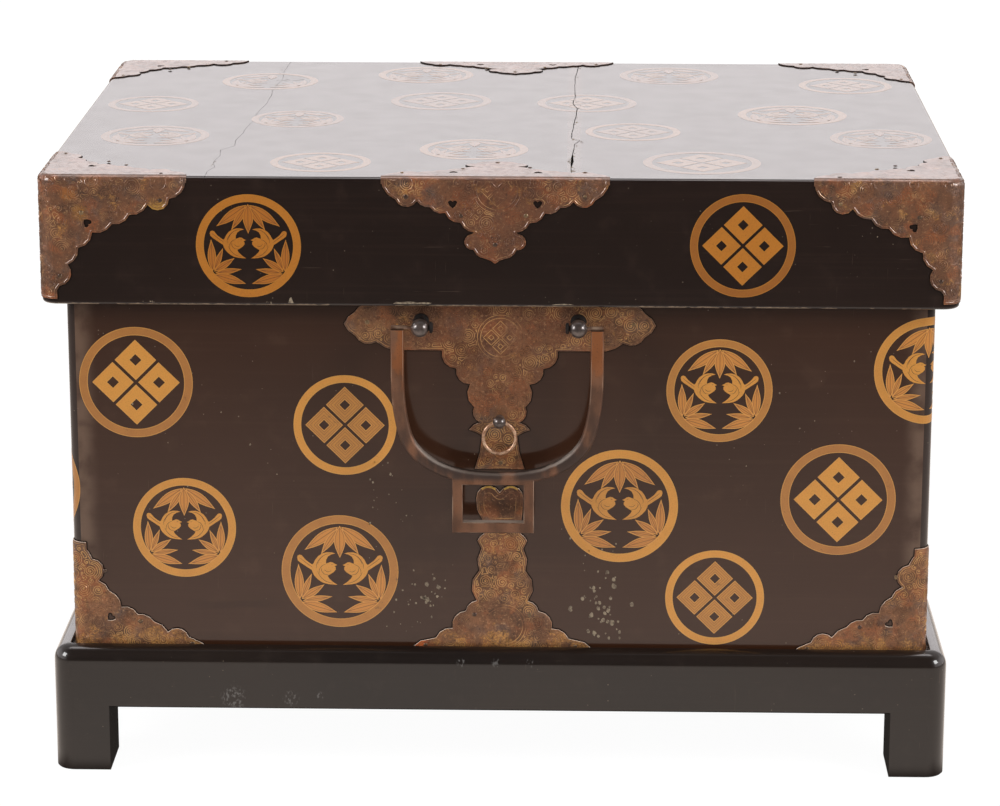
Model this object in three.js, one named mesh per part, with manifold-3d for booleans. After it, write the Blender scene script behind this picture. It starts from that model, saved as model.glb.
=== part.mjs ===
// A lacquered travelling box with a deep lift-off lid, pierced copper plates and two carrying bails with
// pole loops, and the low stand that the box sits in. Millimetres, +Z up, +X to the right seen from
// the front, +Y to the back. The origin is on the floor, in the middle of the stand.
import * as THREE from 'three';
import { mergeVertices } from 'three/addons/utils/BufferGeometryUtils.js';
import Module from 'manifold-3d';

const wasm = await Module();
wasm.setup();

// Clearances that many pieces share.
const HAIRLINE = 0.02;        // between two wooden faces that are glued
const SEAT_GAP = 0.3;         // under a piece that only rests, and round a piece let into another
const OVERRUN = 5;            // how far a cutting solid runs past what it cuts

// The box: four boards round a bottom board.
const BOX_WIDTH = 610;
const BOX_DEPTH = 455;
const BOX_HEIGHT = 337;
const BOX_WALL = 12;
const BOX_FLOOR = 12;
const BOX_CORNER = 10;

// The lid: three planks on four boards, slipped over the upper part of the box.
const LID_HEIGHT = 91;
const LID_WALL = 12;
const LID_PLANK = 12;         // thickness of the planks
const LID_SLIP = 3;           // between the lid's wall and the box
const LID_CORNER = 12;
const LID_EDGE = 4;           // rounding of the upper edge
const LID_LIP = 2;            // rounding of the lower edge
const LEFT_PLANK = 128;       // widths of two planks, and the third takes the rest
const MIDDLE_PLANK = 242;

// The stand: a rebated frame on four legs.
const LEG_HEIGHT = 48;
const LEG_WIDTH = 40;
const LEG_DEPTH = 48;
const RAIL_HEIGHT = 44.5;
const RAIL_WIDTH = 40;
const STAND_LIP = 12;         // wood outside the rebate
const STAND_FIT = 3;          // between the lip and the box
const REBATE = 6;
const STAND_ROUND = 11;       // rounding of the upper edge
const CORNER_EASE = 3;        // what the stand's corners are rounded more than that
const TENON_THICK = 14;
const TENON_WIDE = 22;
const TENON_LONG = 14;
const TENON_SHOULDER = 6;     // wood between a leg's tenon and the face of the rail

// The copper plates.
const PLATE = 1.2;
const PLATE_GAP = 0.3;        // bedding between plate and wood
const LEAF_MARGIN = 4;        // lid below the tip of a corner plate
const LID_LEAF_REACH = 103.5; // a lid corner leaf along the front edge
const BOX_LEAF_REACH = 98.5;  // a box corner leaf along the bottom
const BOX_LEAF_RISE = 80.5;   // and up the corner
const LID_MIDDLE_HALF = 79;   // half the width of the lid's middle plate
const LID_MIDDLE_DROP = 60;
const LID_MIDDLE_SHIFT = -3;  // it is nailed a little to the left
const UPPER_HALF = 109.3;     // half the width of the T-shaped plate
const UPPER_TALL = 123.7;
const UPPER_TUCK = 2.6;       // how far it runs up behind the lid
const PLATE_SPACE = 11.8;     // lacquer between the T-shaped plate and the lower plate
const LOWER_HALF = 67.5;      // half the width of the lower plate
const LOWER_SHIFT = 2;        // it is nailed a little to the right
const PIERCING = 6.5;         // width of a heart-shaped piercing

// The carrying bails, hung in ball-headed eyes.
const BAIL_BELOW = 13.6;      // pivot below the lid's lower edge
const BAIL_CLEAR = 1.4;       // between a raised bail and the lid's plates
const BAIL_HALF = 69.6;       // half the distance between the middles of the arms
const BAIL_DROP = 107.9;      // pivot to the middle of the lower bar
const BAIL_WIDE = 9.2;
const BAIL_THICK = 8.2;
const ARM_TO_EYE = 14.5;      // middle of an arm to the middle of its ball
const PIN_RADIUS = 2;
const PIN_RUN = 1.2;          // how far a pin stands out past its ball
const PIN_FIT = 0.4;
const BALL_RADIUS = 6.4;
const SHANK_RADIUS = 3.2;
const COLLAR_RADIUS = 8;
const COLLAR_THICK = 1.8;
const PEEN_RADIUS = 5.5;      // the shank's end, beaten over inside the box
const PEEN_THICK = 1.6;
const BORE_FIT = 0.3;

// The pole loop under the bail.
const LOOP_WIDTH = 57.3;
const LOOP_SIDE = 7.2;
const LOOP_FOOT = 7.7;
const LOOP_WINDOW = 27.2;     // height of the opening for the pole
const LOOP_THICK = 7;
const LOOP_CHAMFER = 0.8;
const LOOP_SHIFT = -2.7;      // it was forged on a little to the left

// The small cord ring and its knob.
const RING_UP = 36.4;         // pivot above the T-shaped plate's lower edge
const RING_RADIUS = 11.4;     // to the middle of the wire
const WIRE_RADIUS = 1.1;
const RING_FIT = 0.3;
const KNOB_RADIUS = 4.7;
const KNOB_NECK = 1.1;        // bare shank between knob and collar
const KNOB_SHANK = 2;
const KNOB_COLLAR = 3.6;
const KNOB_COLLAR_THICK = 0.9;

// How finely curves are cut.
const CORNER_STEPS = 4;
const EDGE_STEPS = 3;
const ARC_STEP = Math.PI / 6;
const STUD_SIDES = 14;
const KNOB_SIDES = 12;
const BALL_STEPS = 7;
const BORE_SIDES = 12;
const BAR_SIDES = 8;
const BAIL_STEPS = 32;
const WIRE_SIDES = 6;
const RING_STEPS = 24;

// Sizes that follow from the ones above.
const STAND_TOP = LEG_HEIGHT + RAIL_HEIGHT;
const STAND_LEDGE = STAND_TOP - REBATE;
const STAND_CORNER = STAND_ROUND + CORNER_EASE;
const STAND_WIDTH = BOX_WIDTH + 2 * (STAND_FIT + STAND_LIP);
const STAND_DEPTH = BOX_DEPTH + 2 * (STAND_FIT + STAND_LIP);
const BOX_BOTTOM = STAND_LEDGE + SEAT_GAP;
const BOX_RIM = BOX_BOTTOM + BOX_HEIGHT;
const BOX_FACE = -BOX_DEPTH / 2;
const LID_UNDER = BOX_RIM + SEAT_GAP;
const LID_TOP = LID_UNDER + LID_PLANK;
const LID_BOTTOM = LID_TOP - LID_HEIGHT;
const LID_WIDTH = BOX_WIDTH + 2 * (LID_SLIP + LID_WALL);
const LID_DEPTH = BOX_DEPTH + 2 * (LID_SLIP + LID_WALL);
const LID_LEAF_DROP = LID_HEIGHT - LEAF_MARGIN;
const PLATE_OUT = PLATE_GAP + PLATE;
const UPPER_LOW = LID_BOTTOM + UPPER_TUCK - UPPER_TALL;
const LOWER_TALL = UPPER_LOW - PLATE_SPACE - BOX_BOTTOM;
const BAIL_HEIGHT = LID_BOTTOM - BAIL_BELOW;
const BAIL_STANDOFF = LID_SLIP + LID_WALL + PLATE_OUT + BAIL_CLEAR + BAIL_THICK / 2;
const EYE_HALF = BAIL_HALF - ARM_TO_EYE;
const RING_HEIGHT = UPPER_LOW + RING_UP;
const RING_STANDOFF = PLATE_OUT + SEAT_GAP + KNOB_COLLAR_THICK + KNOB_NECK + KNOB_RADIUS;

// Outlines. Each point is [across share, up share, bulge]. The bulge belongs to the edge that leaves
// the point: the rise of its arc over half its chord, positive outwards, and 0 for a straight edge.
// The points run anticlockwise.
const lidLeafShares = [
  [1, 0, 0], [0.99, 0.075, 0.3], [0.884, 0.178, 0.75], [0.739, 0.228, 0.32], [0.616, 0.31, 0.36],
  [0.498, 0.385, 0.34], [0.362, 0.454, 0.38], [0.266, 0.58, 0.34], [0.193, 0.718, 0.6],
  [0.135, 0.891, 0.3], [0, 1, 0],
];
const boxLeafShares = [
  [1, 0, 0.12], [0.832, 0.125, 0.6], [0.682, 0.171, 0.22], [0.578, 0.268, 0.3], [0.462, 0.334, 0.36],
  [0.345, 0.401, 0.3], [0.259, 0.549, 0.26], [0.183, 0.646, 0.72], [0.142, 0.848, 0.3], [0, 1, 0],
];
const lidMiddleShares = [
  [0, 0, -0.15], [0.087, 0.06, 0.3], [0.19, 0.165, 1.05], [0.205, 0.348, 0], [0.184, 0.37, 0.3],
  [0.304, 0.483, 0.36], [0.437, 0.597, 0.36], [0.57, 0.663, 0.3], [0.684, 0.733, 0.62],
  [0.873, 0.75, 0.3], [1, 1, 0],
];
const upperShares = [
  [0.161, 0, -0.08], [0.113, 0.198, -0.1], [0.197, 0.232, 0.25], [0.124, 0.275, 0.45],
  [0.165, 0.366, 0.4], [0.19, 0.501, 0.5], [0.279, 0.593, 0.5], [0.37, 0.698, 0],
  [0.682, 0.698, 0.15], [0.792, 0.745, 0.45], [0.93, 0.781, 0.2], [1, 0.849, 0.2],
  [0.93, 0.917, 0.45], [0.792, 0.953, 0.15], [0.682, 1, 0],
];
const lowerShares = [
  [1, 0, 0], [1, 0.008, 0.25], [0.704, 0.089, 0.34], [0.526, 0.148, 0.45], [0.385, 0.252, 0.34],
  [0.271, 0.313, 0.4], [0.243, 0.493, 0.25], [0.219, 0.624, 0], [0.262, 0.671, 0.15],
  [0.193, 0.714, 0], [0.2, 0.786, 0.12], [0.246, 0.925, 0.8], [0, 0.957, 0],
];
const heartShares = [[0, -0.5, 0.18], [0.5, 0.14, 0.75], [0, 0.22, 0.75], [-0.5, 0.14, 0.18]];

// Where a piercing sits, as shares of its leaf, with its tilt.
const lidLeafPiercing = { acrossShare: 0.33, upShare: 0.375, tilt: -Math.PI / 4 };
const boxLeafPiercing = { acrossShare: 0.267, upShare: 0.305, tilt: -Math.PI / 4 };
const lidMiddlePiercing = { acrossShare: 0.372, upShare: 0.704, tilt: 0 };

// Half of the bail's middle line, below the pivot, as [share of its half width, share of its drop].
const bailShares = [
  [1, 0.1], [1, 0.22], [1, 0.34], [0.992, 0.46], [0.969, 0.58], [0.936, 0.68], [0.886, 0.765],
  [0.806, 0.835], [0.704, 0.892], [0.584, 0.935], [0.44, 0.97], [0.24, 0.993], [0, 1],
];

// Finishes: colour, roughness and metalness.
const FINISHES = {
  lacquer: [0x33251f, 0.32, 0],
  standLacquer: [0x24211f, 0.28, 0],
  bareWood: [0x6b4a33, 0.7, 0],
  copper: [0x7d5a40, 0.45, 0.8],
  iron: [0x6b4f3f, 0.5, 0.75],
  darkIron: [0x35322f, 0.3, 0.85],
  brass: [0xa07848, 0.3, 0.9],
};

// Solids, and what is cut from or joined to them.

function solid(geometry) {
  const bare = geometry.clone();
  bare.deleteAttribute('normal');
  bare.deleteAttribute('uv');
  const merged = mergeVertices(bare);
  return new wasm.Manifold(new wasm.Mesh({
    numProp: 3,
    vertProperties: new Float32Array(merged.attributes.position.array),
    triVerts: new Uint32Array(merged.index.array),
  }));
}

function geometryOf(body) {
  const mesh = body.getMesh();
  const geometry = new THREE.BufferGeometry();
  geometry.setAttribute('position', new THREE.BufferAttribute(new Float32Array(mesh.vertProperties), 3));
  geometry.setIndex(new THREE.BufferAttribute(new Uint32Array(mesh.triVerts), 1));
  const loose = geometry.toNonIndexed();
  loose.computeVertexNormals();
  return loose;
}

function joined(bodies) {
  return bodies.reduce((whole, body) => whole.add(body));
}

function without(body, cuts) {
  return cuts.reduce((rest, cut) => rest.subtract(cut), body);
}

function block(x0, x1, y0, y1, z0, z1) {
  const geometry = new THREE.BoxGeometry(x1 - x0, y1 - y0, z1 - z0);
  geometry.translate((x0 + x1) / 2, (y0 + y1) / 2, (z0 + z1) / 2);
  return solid(geometry);
}

// The image of a geometry across the planes x = 0 or y = 0 or both, with its faces still outwards.
function mirrored(geometry, overX, overY) {
  const image = geometry.clone();
  image.scale(overX ? -1 : 1, overY ? -1 : 1, 1);
  if (overX !== overY) {
    const p = image.attributes.position;
    for (let i = 0; i < p.count; i += 3) {
      const [x, y, z] = [p.getX(i), p.getY(i), p.getZ(i)];
      p.setXYZ(i, p.getX(i + 1), p.getY(i + 1), p.getZ(i + 1));
      p.setXYZ(i + 1, x, y, z);
    }
  }
  image.computeVertexNormals();
  return image;
}

// Outlines as lists of points.

// Draws the edge from one outline point to the next, as a line or as the arc its bulge asks for,
// without the next point itself.
function drawEdge([x0, y0, bulge], [x1, y1]) {
  const start = new THREE.Vector2(x0, y0);
  if (bulge === 0) return [start];
  const turn = 4 * Math.atan(bulge);
  const steps = Math.max(2, Math.ceil(Math.abs(turn) / ARC_STEP));
  const back = (1 / bulge - bulge) / 4;
  const centre = new THREE.Vector2((x0 + x1) / 2 - back * (y1 - y0), (y0 + y1) / 2 + back * (x1 - x0));
  return Array.from({ length: steps }, (_, s) => start.clone().rotateAround(centre, turn * s / steps));
}

function drawOutline(points, closed) {
  const drawn = points.slice(0, -1).flatMap((point, i) => drawEdge(point, points[i + 1]));
  const last = points.at(-1);
  return [...drawn, ...(closed ? drawEdge(last, points[0]) : [new THREE.Vector2(last[0], last[1])])];
}

function sized(shares, across, up) {
  return shares.map(([a, u, bulge]) => [a * across, u * up, bulge]);
}

// A corner leaf with its square corner at the origin, run past both of its straight edges.
function leafOutline(shares, across, up) {
  return [
    ...drawOutline(sized(shares, across, up), false),
    new THREE.Vector2(-OVERRUN, up), new THREE.Vector2(-OVERRUN, -OVERRUN), new THREE.Vector2(across, -OVERRUN),
  ];
}

// An outline that is alike on both sides of its middle, from the points of its right half, with
// its straight upper edge run up by as much as is asked.
function twinOutline(shares, half, tall, runUp) {
  const right = drawOutline(sized(shares, half, tall), false);
  if (runUp > 0) right.push(new THREE.Vector2(half, tall + runUp));
  const left = right.filter((p) => p.x > 0).map((p) => new THREE.Vector2(-p.x, p.y)).reverse();
  return [...right, ...left];
}

// A heart-shaped piercing in a leaf, at its shares of the leaf's size.
function piercing({ acrossShare, upShare, tilt }, across, up) {
  const place = new THREE.Vector2(acrossShare * across, upShare * up);
  const middle = new THREE.Vector2();
  return drawOutline(sized(heartShares, PIERCING, PIERCING), true)
    .map((p) => p.rotateAround(middle, tilt).add(place));
}

function circle(x, y, radius) {
  return Array.from({ length: BORE_SIDES }, (_, i) => {
    const angle = 2 * Math.PI * i / BORE_SIDES;
    return new THREE.Vector2(x + radius * Math.cos(angle), y + radius * Math.sin(angle));
  });
}

function roundedRect(width, depth, radius) {
  const [w, d] = [width / 2 - radius, depth / 2 - radius];
  const quarter = Math.PI / 2;
  const shape = new THREE.Shape();
  shape.moveTo(w + radius, -d);
  [[w, d], [-w, d], [-w, -d], [w, -d]].forEach(([x, y], i) => {
    shape.absarc(x, y, radius, i * quarter, (i + 1) * quarter);
  });
  return shape;
}

// Solids from outlines.

function upright(shape, bottom, top) {
  const geometry = new THREE.ExtrudeGeometry(shape, {
    depth: top - bottom, bevelEnabled: false, curveSegments: CORNER_STEPS,
  });
  geometry.translate(0, 0, bottom);
  return solid(geometry);
}

// An upright body with rounded corners whose upper and lower edges are rounded too.
function softened(width, depth, corner, bottom, top, edge) {
  const geometry = new THREE.ExtrudeGeometry(roundedRect(width, depth, corner), {
    depth: top - bottom - 2 * edge, curveSegments: CORNER_STEPS, bevelEnabled: true,
    bevelThickness: edge, bevelSize: edge, bevelOffset: -edge, bevelSegments: EDGE_STEPS,
  });
  geometry.translate(0, 0, bottom + edge);
  return solid(geometry);
}

// Faces that outlines are laid on: their across, up and outward directions.
const FRONT = new THREE.Matrix4().makeBasis(
  new THREE.Vector3(1, 0, 0), new THREE.Vector3(0, 0, 1), new THREE.Vector3(0, -1, 0));
const RIGHT = new THREE.Matrix4().makeBasis(
  new THREE.Vector3(0, 1, 0), new THREE.Vector3(0, 0, 1), new THREE.Vector3(1, 0, 0));
const TOP = new THREE.Matrix4();

// Extrudes an outline on a face, from one distance along the outward direction to another.
function laidOn(face, outline, from, to, holes = []) {
  const shape = new THREE.Shape(outline);
  shape.holes = holes.map((hole) => new THREE.Path(hole));
  const geometry = new THREE.ExtrudeGeometry(shape, { depth: to - from, bevelEnabled: false });
  geometry.translate(0, 0, from);
  geometry.applyMatrix4(face);
  return solid(geometry);
}

// A turned piece whose axis points out of the front of the box. Its profile is
// [radius, distance from the face].
function turnedOnFront(profile, sides, x, z) {
  const points = profile.map(([radius, out]) => new THREE.Vector2(radius, out));
  const geometry = new THREE.LatheGeometry(points, sides);
  geometry.rotateX(Math.PI);
  geometry.translate(x, BOX_FACE, z);
  return solid(geometry);
}

function crossPin(x0, x1, y, z, radius) {
  const geometry = new THREE.CylinderGeometry(radius, radius, x1 - x0, BAR_SIDES);
  geometry.rotateZ(Math.PI / 2);
  geometry.translate((x0 + x1) / 2, y, z);
  return solid(geometry);
}

// The assembly.

const chest = new THREE.Group();

function add(name, finish, geometry) {
  const [color, roughness, metalness] = FINISHES[finish];
  const mesh = new THREE.Mesh(geometry, new THREE.MeshStandardMaterial({ color, roughness, metalness }));
  mesh.name = name;
  chest.add(mesh);
}

const SIDES = [['left', true], ['right', false]];
const ENDS = [['front', false], ['back', true]];

// Adds a piece that was made for the right side, and its image for the left.
function addAtSides(prefix, suffix, finish, geometry) {
  for (const [side, overX] of SIDES) {
    add(`${prefix}_${side}_${suffix}`, finish, mirrored(geometry, overX, false));
  }
}

// Adds a piece that was made for the front right at each of the four corners.
function addAtCorners(name, finish, geometry) {
  for (const [end, overY] of ENDS) {
    for (const [side, overX] of SIDES) add(`${name}_${end}_${side}`, finish, mirrored(geometry, overX, overY));
  }
}

// Adds a piece that was made for the front, and the same piece turned half round for the back.
function addAtEnds(prefix, suffix, finish, geometry) {
  for (const [end, turned] of ENDS) {
    add(`${prefix}${end}_${suffix}`, finish, mirrored(geometry, turned, turned));
  }
}

function makeStand() {
  const [w, d] = [STAND_WIDTH / 2, STAND_DEPTH / 2];
  const inner = d - RAIL_WIDTH;
  // The form runs as far below the floor as above it, so that no leg has a rounded foot.
  const form = softened(STAND_WIDTH, STAND_DEPTH, STAND_CORNER, -STAND_TOP, STAND_TOP, STAND_ROUND);
  const rebate = upright(
    roundedRect(BOX_WIDTH + 2 * STAND_FIT, BOX_DEPTH + 2 * STAND_FIT, BOX_CORNER + STAND_FIT),
    STAND_LEDGE, STAND_TOP + OVERRUN);

  // The tenons of side rails and legs go into the front and back rails. Each is made at its own
  // size and, for its mortise, a gap larger.
  const railX = w - RAIL_WIDTH / 2;
  const railZ = (LEG_HEIGHT + STAND_LEDGE) / 2;
  const sideTenon = (x, grow) => block(
    x - TENON_THICK / 2 - grow, x + TENON_THICK / 2 + grow,
    -inner - TENON_LONG - grow, -inner + OVERRUN,
    railZ - TENON_WIDE / 2 - grow, railZ + TENON_WIDE / 2 + grow);
  const legX = w - LEG_WIDTH / 2;
  const legY = d - TENON_SHOULDER - TENON_THICK / 2;
  const legTenon = (x, grow) => block(
    x - TENON_WIDE / 2 - grow, x + TENON_WIDE / 2 + grow,
    -legY - TENON_THICK / 2 - grow, -legY + TENON_THICK / 2 + grow,
    LEG_HEIGHT - OVERRUN, LEG_HEIGHT + TENON_LONG + grow);
  const mortises = [-1, 1].flatMap((side) => [
    sideTenon(side * railX, SEAT_GAP), legTenon(side * legX, SEAT_GAP),
  ]);

  const frontRail = form.intersect(block(-w, w, -d, -inner, LEG_HEIGHT, STAND_TOP));
  addAtEnds('stand_', 'rail', 'standLacquer', geometryOf(without(frontRail, [rebate, ...mortises])));

  const end = inner - HAIRLINE;
  const sideRail = form.intersect(block(w - RAIL_WIDTH, w, -end, end, LEG_HEIGHT, STAND_TOP));
  const tenon = sideTenon(railX, 0);
  const backTenon = solid(mirrored(geometryOf(tenon), false, true));
  const tenoned = joined([sideRail.subtract(rebate), tenon, backTenon]);
  addAtSides('stand', 'rail', 'standLacquer', geometryOf(tenoned));

  const leg = form.intersect(block(w - LEG_WIDTH, w, -d, -d + LEG_DEPTH, 0, LEG_HEIGHT - HAIRLINE));
  addAtCorners('stand_leg', 'standLacquer', geometryOf(joined([leg, legTenon(legX, 0)])));
}

// The four boards of the box or of the lid. Front and back run the full width and carry the rounded
// corners, and the side boards stand between them.
function addBoards(prefix, form, width, depth, wall, corner, bottom, top, bores) {
  const [w, d] = [width / 2, depth / 2];
  const inner = d - Math.max(wall, corner);
  const end = inner - HAIRLINE;
  const hollow = block(-w + wall, w - wall, -d + wall, d - wall, bottom - OVERRUN, top + OVERRUN);
  const front = form.intersect(block(-w, w, -d, -inner, bottom, top));
  const right = form.intersect(block(w - wall, w, -end, end, bottom, top));
  addAtEnds(`${prefix}_`, 'board', 'lacquer', geometryOf(without(front, [hollow, ...bores])));
  addAtSides(prefix, 'board', 'lacquer', geometryOf(right));
}

function makeBox() {
  const form = upright(roundedRect(BOX_WIDTH, BOX_DEPTH, BOX_CORNER), BOX_BOTTOM, BOX_RIM);
  const inner = -BOX_FACE - BOX_WALL;
  const bores = studBores().map((bore) => laidOn(FRONT, bore, inner - OVERRUN, -BOX_FACE + OVERRUN));
  addBoards('box', form, BOX_WIDTH, BOX_DEPTH, BOX_WALL, BOX_CORNER, BOX_BOTTOM, BOX_RIM, bores);
  const [w, d] = [BOX_WIDTH / 2 - BOX_WALL - HAIRLINE, inner - HAIRLINE];
  add('box_bottom_board', 'bareWood', geometryOf(block(-w, w, -d, d, BOX_BOTTOM, BOX_BOTTOM + BOX_FLOOR)));
}

// The lid's outer form, made larger all round. It runs on below the lid, so that the plates that are
// cut from it can end anywhere on the lid's side.
function lidForm(grow) {
  return softened(LID_WIDTH + 2 * grow, LID_DEPTH + 2 * grow, LID_CORNER + grow,
    LID_BOTTOM - LID_HEIGHT, LID_TOP + grow, LID_EDGE + grow);
}

function makeLid() {
  const [w, d] = [LID_WIDTH / 2, LID_DEPTH / 2];
  const walls = softened(LID_WIDTH, LID_DEPTH, LID_CORNER, LID_BOTTOM, LID_TOP + LID_HEIGHT, LID_LIP);
  addBoards('lid', walls, LID_WIDTH, LID_DEPTH, LID_WALL, LID_CORNER, LID_BOTTOM, LID_UNDER - HAIRLINE, []);
  const seams = [-w, -w + LEFT_PLANK, -w + LEFT_PLANK + MIDDLE_PLANK, w];
  ['left', 'middle', 'right'].forEach((place, i) => {
    const slice = block(seams[i], seams[i + 1] - HAIRLINE, -d, d, LID_UNDER, LID_TOP);
    add(`lid_${place}_plank`, 'lacquer', geometryOf(lidForm(0).intersect(slice)));
  });
}

// Cuts one folded sheet from a form's thin shell. Each leaf is an outline laid on a face, and its
// holes are laid on the same face.
function foldedPlate(formOf, leaves, bite, extra) {
  const shell = formOf(PLATE_OUT).subtract(formOf(PLATE_GAP));
  const lay = (outline, { face, level, mark }) => laidOn(face, outline.map(mark), level - bite, level + OVERRUN);
  const pattern = joined([...extra, ...leaves.map((leaf) => lay(leaf.outline, leaf))]);
  const holes = leaves.flatMap((leaf) => leaf.holes.map((hole) => lay(hole, leaf)));
  return without(shell.intersect(pattern), holes);
}

// The lid's corner plate: three leaves folded over the corner, for the front right.
function makeLidCornerPlates() {
  const [w, d] = [LID_WIDTH / 2, LID_DEPTH / 2];
  const leaf = (face, reach, level, mark) => ({
    face, level, mark,
    outline: leafOutline(lidLeafShares, reach, LID_LEAF_DROP),
    holes: [piercing(lidLeafPiercing, reach, LID_LEAF_DROP)],
  });
  const leaves = [
    leaf(FRONT, LID_LEAF_REACH, d, (p) => new THREE.Vector2(w - p.x, LID_TOP - p.y)),
    leaf(RIGHT, LID_LEAF_DROP, w, (p) => new THREE.Vector2(-d + p.x, LID_TOP - p.y)),
    leaf(TOP, LID_LEAF_REACH, LID_TOP, (p) => new THREE.Vector2(w - p.x, -d + p.y)),
  ];
  const fold = block(w - LID_CORNER, w + OVERRUN, -d - OVERRUN, -d + LID_CORNER,
    LID_TOP - LID_LEAF_DROP, LID_TOP + OVERRUN);
  addAtCorners('lid_corner_plate', 'copper', geometryOf(foldedPlate(lidForm, leaves, LID_EDGE, [fold])));
}

// The lid's middle plate: one leaf on the front and its image on the top.
function makeLidMiddlePlates() {
  const d = LID_DEPTH / 2;
  const outline = twinOutline(lidMiddleShares, LID_MIDDLE_HALF, LID_MIDDLE_DROP, OVERRUN);
  const holes = [-1, 1].map((side) => piercing(lidMiddlePiercing, side * LID_MIDDLE_HALF, LID_MIDDLE_DROP));
  const onFront = (p) => new THREE.Vector2(LID_MIDDLE_SHIFT + p.x, LID_TOP - LID_MIDDLE_DROP + p.y);
  const onTop = (p) => new THREE.Vector2(LID_MIDDLE_SHIFT + p.x, -d + LID_MIDDLE_DROP - p.y);
  const leaves = [
    { face: FRONT, level: d, mark: onFront, outline, holes },
    { face: TOP, level: LID_TOP, mark: onTop, outline, holes },
  ];
  addAtEnds('', 'lid_plate', 'copper', geometryOf(foldedPlate(lidForm, leaves, LID_EDGE, [])));
}

// The box's corner plate: two leaves round the upright edge, for the front right.
function makeBoxCornerPlates() {
  const [w, d] = [BOX_WIDTH / 2, BOX_DEPTH / 2];
  const form = (grow) => upright(
    roundedRect(BOX_WIDTH + 2 * grow, BOX_DEPTH + 2 * grow, BOX_CORNER + grow), BOX_BOTTOM, BOX_RIM);
  const outline = leafOutline(boxLeafShares, BOX_LEAF_REACH, BOX_LEAF_RISE);
  const holes = [piercing(boxLeafPiercing, BOX_LEAF_REACH, BOX_LEAF_RISE)];
  const onFront = (p) => new THREE.Vector2(w - p.x, BOX_BOTTOM + p.y);
  const onRight = (p) => new THREE.Vector2(-d + p.x, BOX_BOTTOM + p.y);
  const leaves = [
    { face: FRONT, level: d, mark: onFront, outline, holes },
    { face: RIGHT, level: w, mark: onRight, outline, holes },
  ];
  const fold = block(w - BOX_CORNER, w + OVERRUN, -d - OVERRUN, -d + BOX_CORNER,
    BOX_BOTTOM, BOX_BOTTOM + BOX_LEAF_RISE);
  addAtCorners('box_corner_plate', 'copper', geometryOf(foldedPlate(form, leaves, 0, [fold])));
}

// Bores for the shanks of the two bail studs and of the knob, on the face of the box.
function studBores() {
  return [
    ...[-EYE_HALF, EYE_HALF].map((x) => circle(x, BAIL_HEIGHT, SHANK_RADIUS + BORE_FIT)),
    circle(0, RING_HEIGHT, KNOB_SHANK + BORE_FIT),
  ];
}

// The flat plates on the face of the box.
function makeFacePlates() {
  const near = -BOX_FACE + PLATE_GAP;
  const far = near + PLATE;
  const upper = twinOutline(upperShares, UPPER_HALF, UPPER_TALL, 0)
    .map((p) => new THREE.Vector2(p.x, UPPER_LOW + p.y));
  const lower = twinOutline(lowerShares, LOWER_HALF, LOWER_TALL, 0)
    .map((p) => new THREE.Vector2(LOWER_SHIFT + p.x, BOX_BOTTOM + p.y));
  addAtEnds('', 'upper_plate', 'copper', geometryOf(laidOn(FRONT, upper, near, far, studBores())));
  addAtEnds('', 'lower_plate', 'copper', geometryOf(laidOn(FRONT, lower, near, far)));
}

// A ball on a shank that goes through plate and board and is beaten over inside the box.
function studProfile(head, standoff, shank, collar, collarThick, peen, peenThick) {
  const seat = PLATE_OUT + SEAT_GAP;
  const inside = -BOX_WALL - SEAT_GAP;
  const round = Math.PI - Math.asin(shank / head);
  const ball = Array.from({ length: BALL_STEPS }, (_, i) => {
    const angle = round * (1 - i / BALL_STEPS);
    return [head * Math.sin(angle), standoff + head * Math.cos(angle)];
  });
  return [
    [0, inside - peenThick], [peen / 2, inside - peenThick], [peen, inside], [shank, inside],
    [shank, seat], [collar, seat], [collar, seat + collarThick / 2], [shank, seat + collarThick],
    ...ball, [0, standoff + head],
  ];
}

function makeStuds() {
  const profile = studProfile(
    BALL_RADIUS, BAIL_STANDOFF, SHANK_RADIUS, COLLAR_RADIUS, COLLAR_THICK, PEEN_RADIUS, PEEN_THICK);
  for (const [side, onLeft] of SIDES) {
    const x = onLeft ? -EYE_HALF : EYE_HALF;
    const eye = crossPin(x - BALL_RADIUS - OVERRUN, x + BALL_RADIUS + OVERRUN,
      BOX_FACE - BAIL_STANDOFF, BAIL_HEIGHT, PIN_RADIUS + PIN_FIT);
    const stud = turnedOnFront(profile, STUD_SIDES, x, BAIL_HEIGHT).subtract(eye);
    addAtEnds('', `bail_stud_${side}`, 'darkIron', geometryOf(stud));
  }

  // The ring dips where it passes through its knob, and the eye leaves room for that dip.
  const dip = RING_RADIUS - Math.sqrt(RING_RADIUS ** 2 - KNOB_RADIUS ** 2);
  const eye = crossPin(-KNOB_RADIUS - OVERRUN, KNOB_RADIUS + OVERRUN,
    BOX_FACE - RING_STANDOFF, RING_HEIGHT, WIRE_RADIUS + dip + RING_FIT);
  const knobProfile = studProfile(KNOB_RADIUS, RING_STANDOFF, KNOB_SHANK, KNOB_COLLAR, KNOB_COLLAR_THICK,
    KNOB_COLLAR, KNOB_COLLAR_THICK);
  const knob = turnedOnFront(knobProfile, KNOB_SIDES, 0, RING_HEIGHT).subtract(eye);
  addAtEnds('', 'ring_stud', 'darkIron', geometryOf(knob));
}

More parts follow.
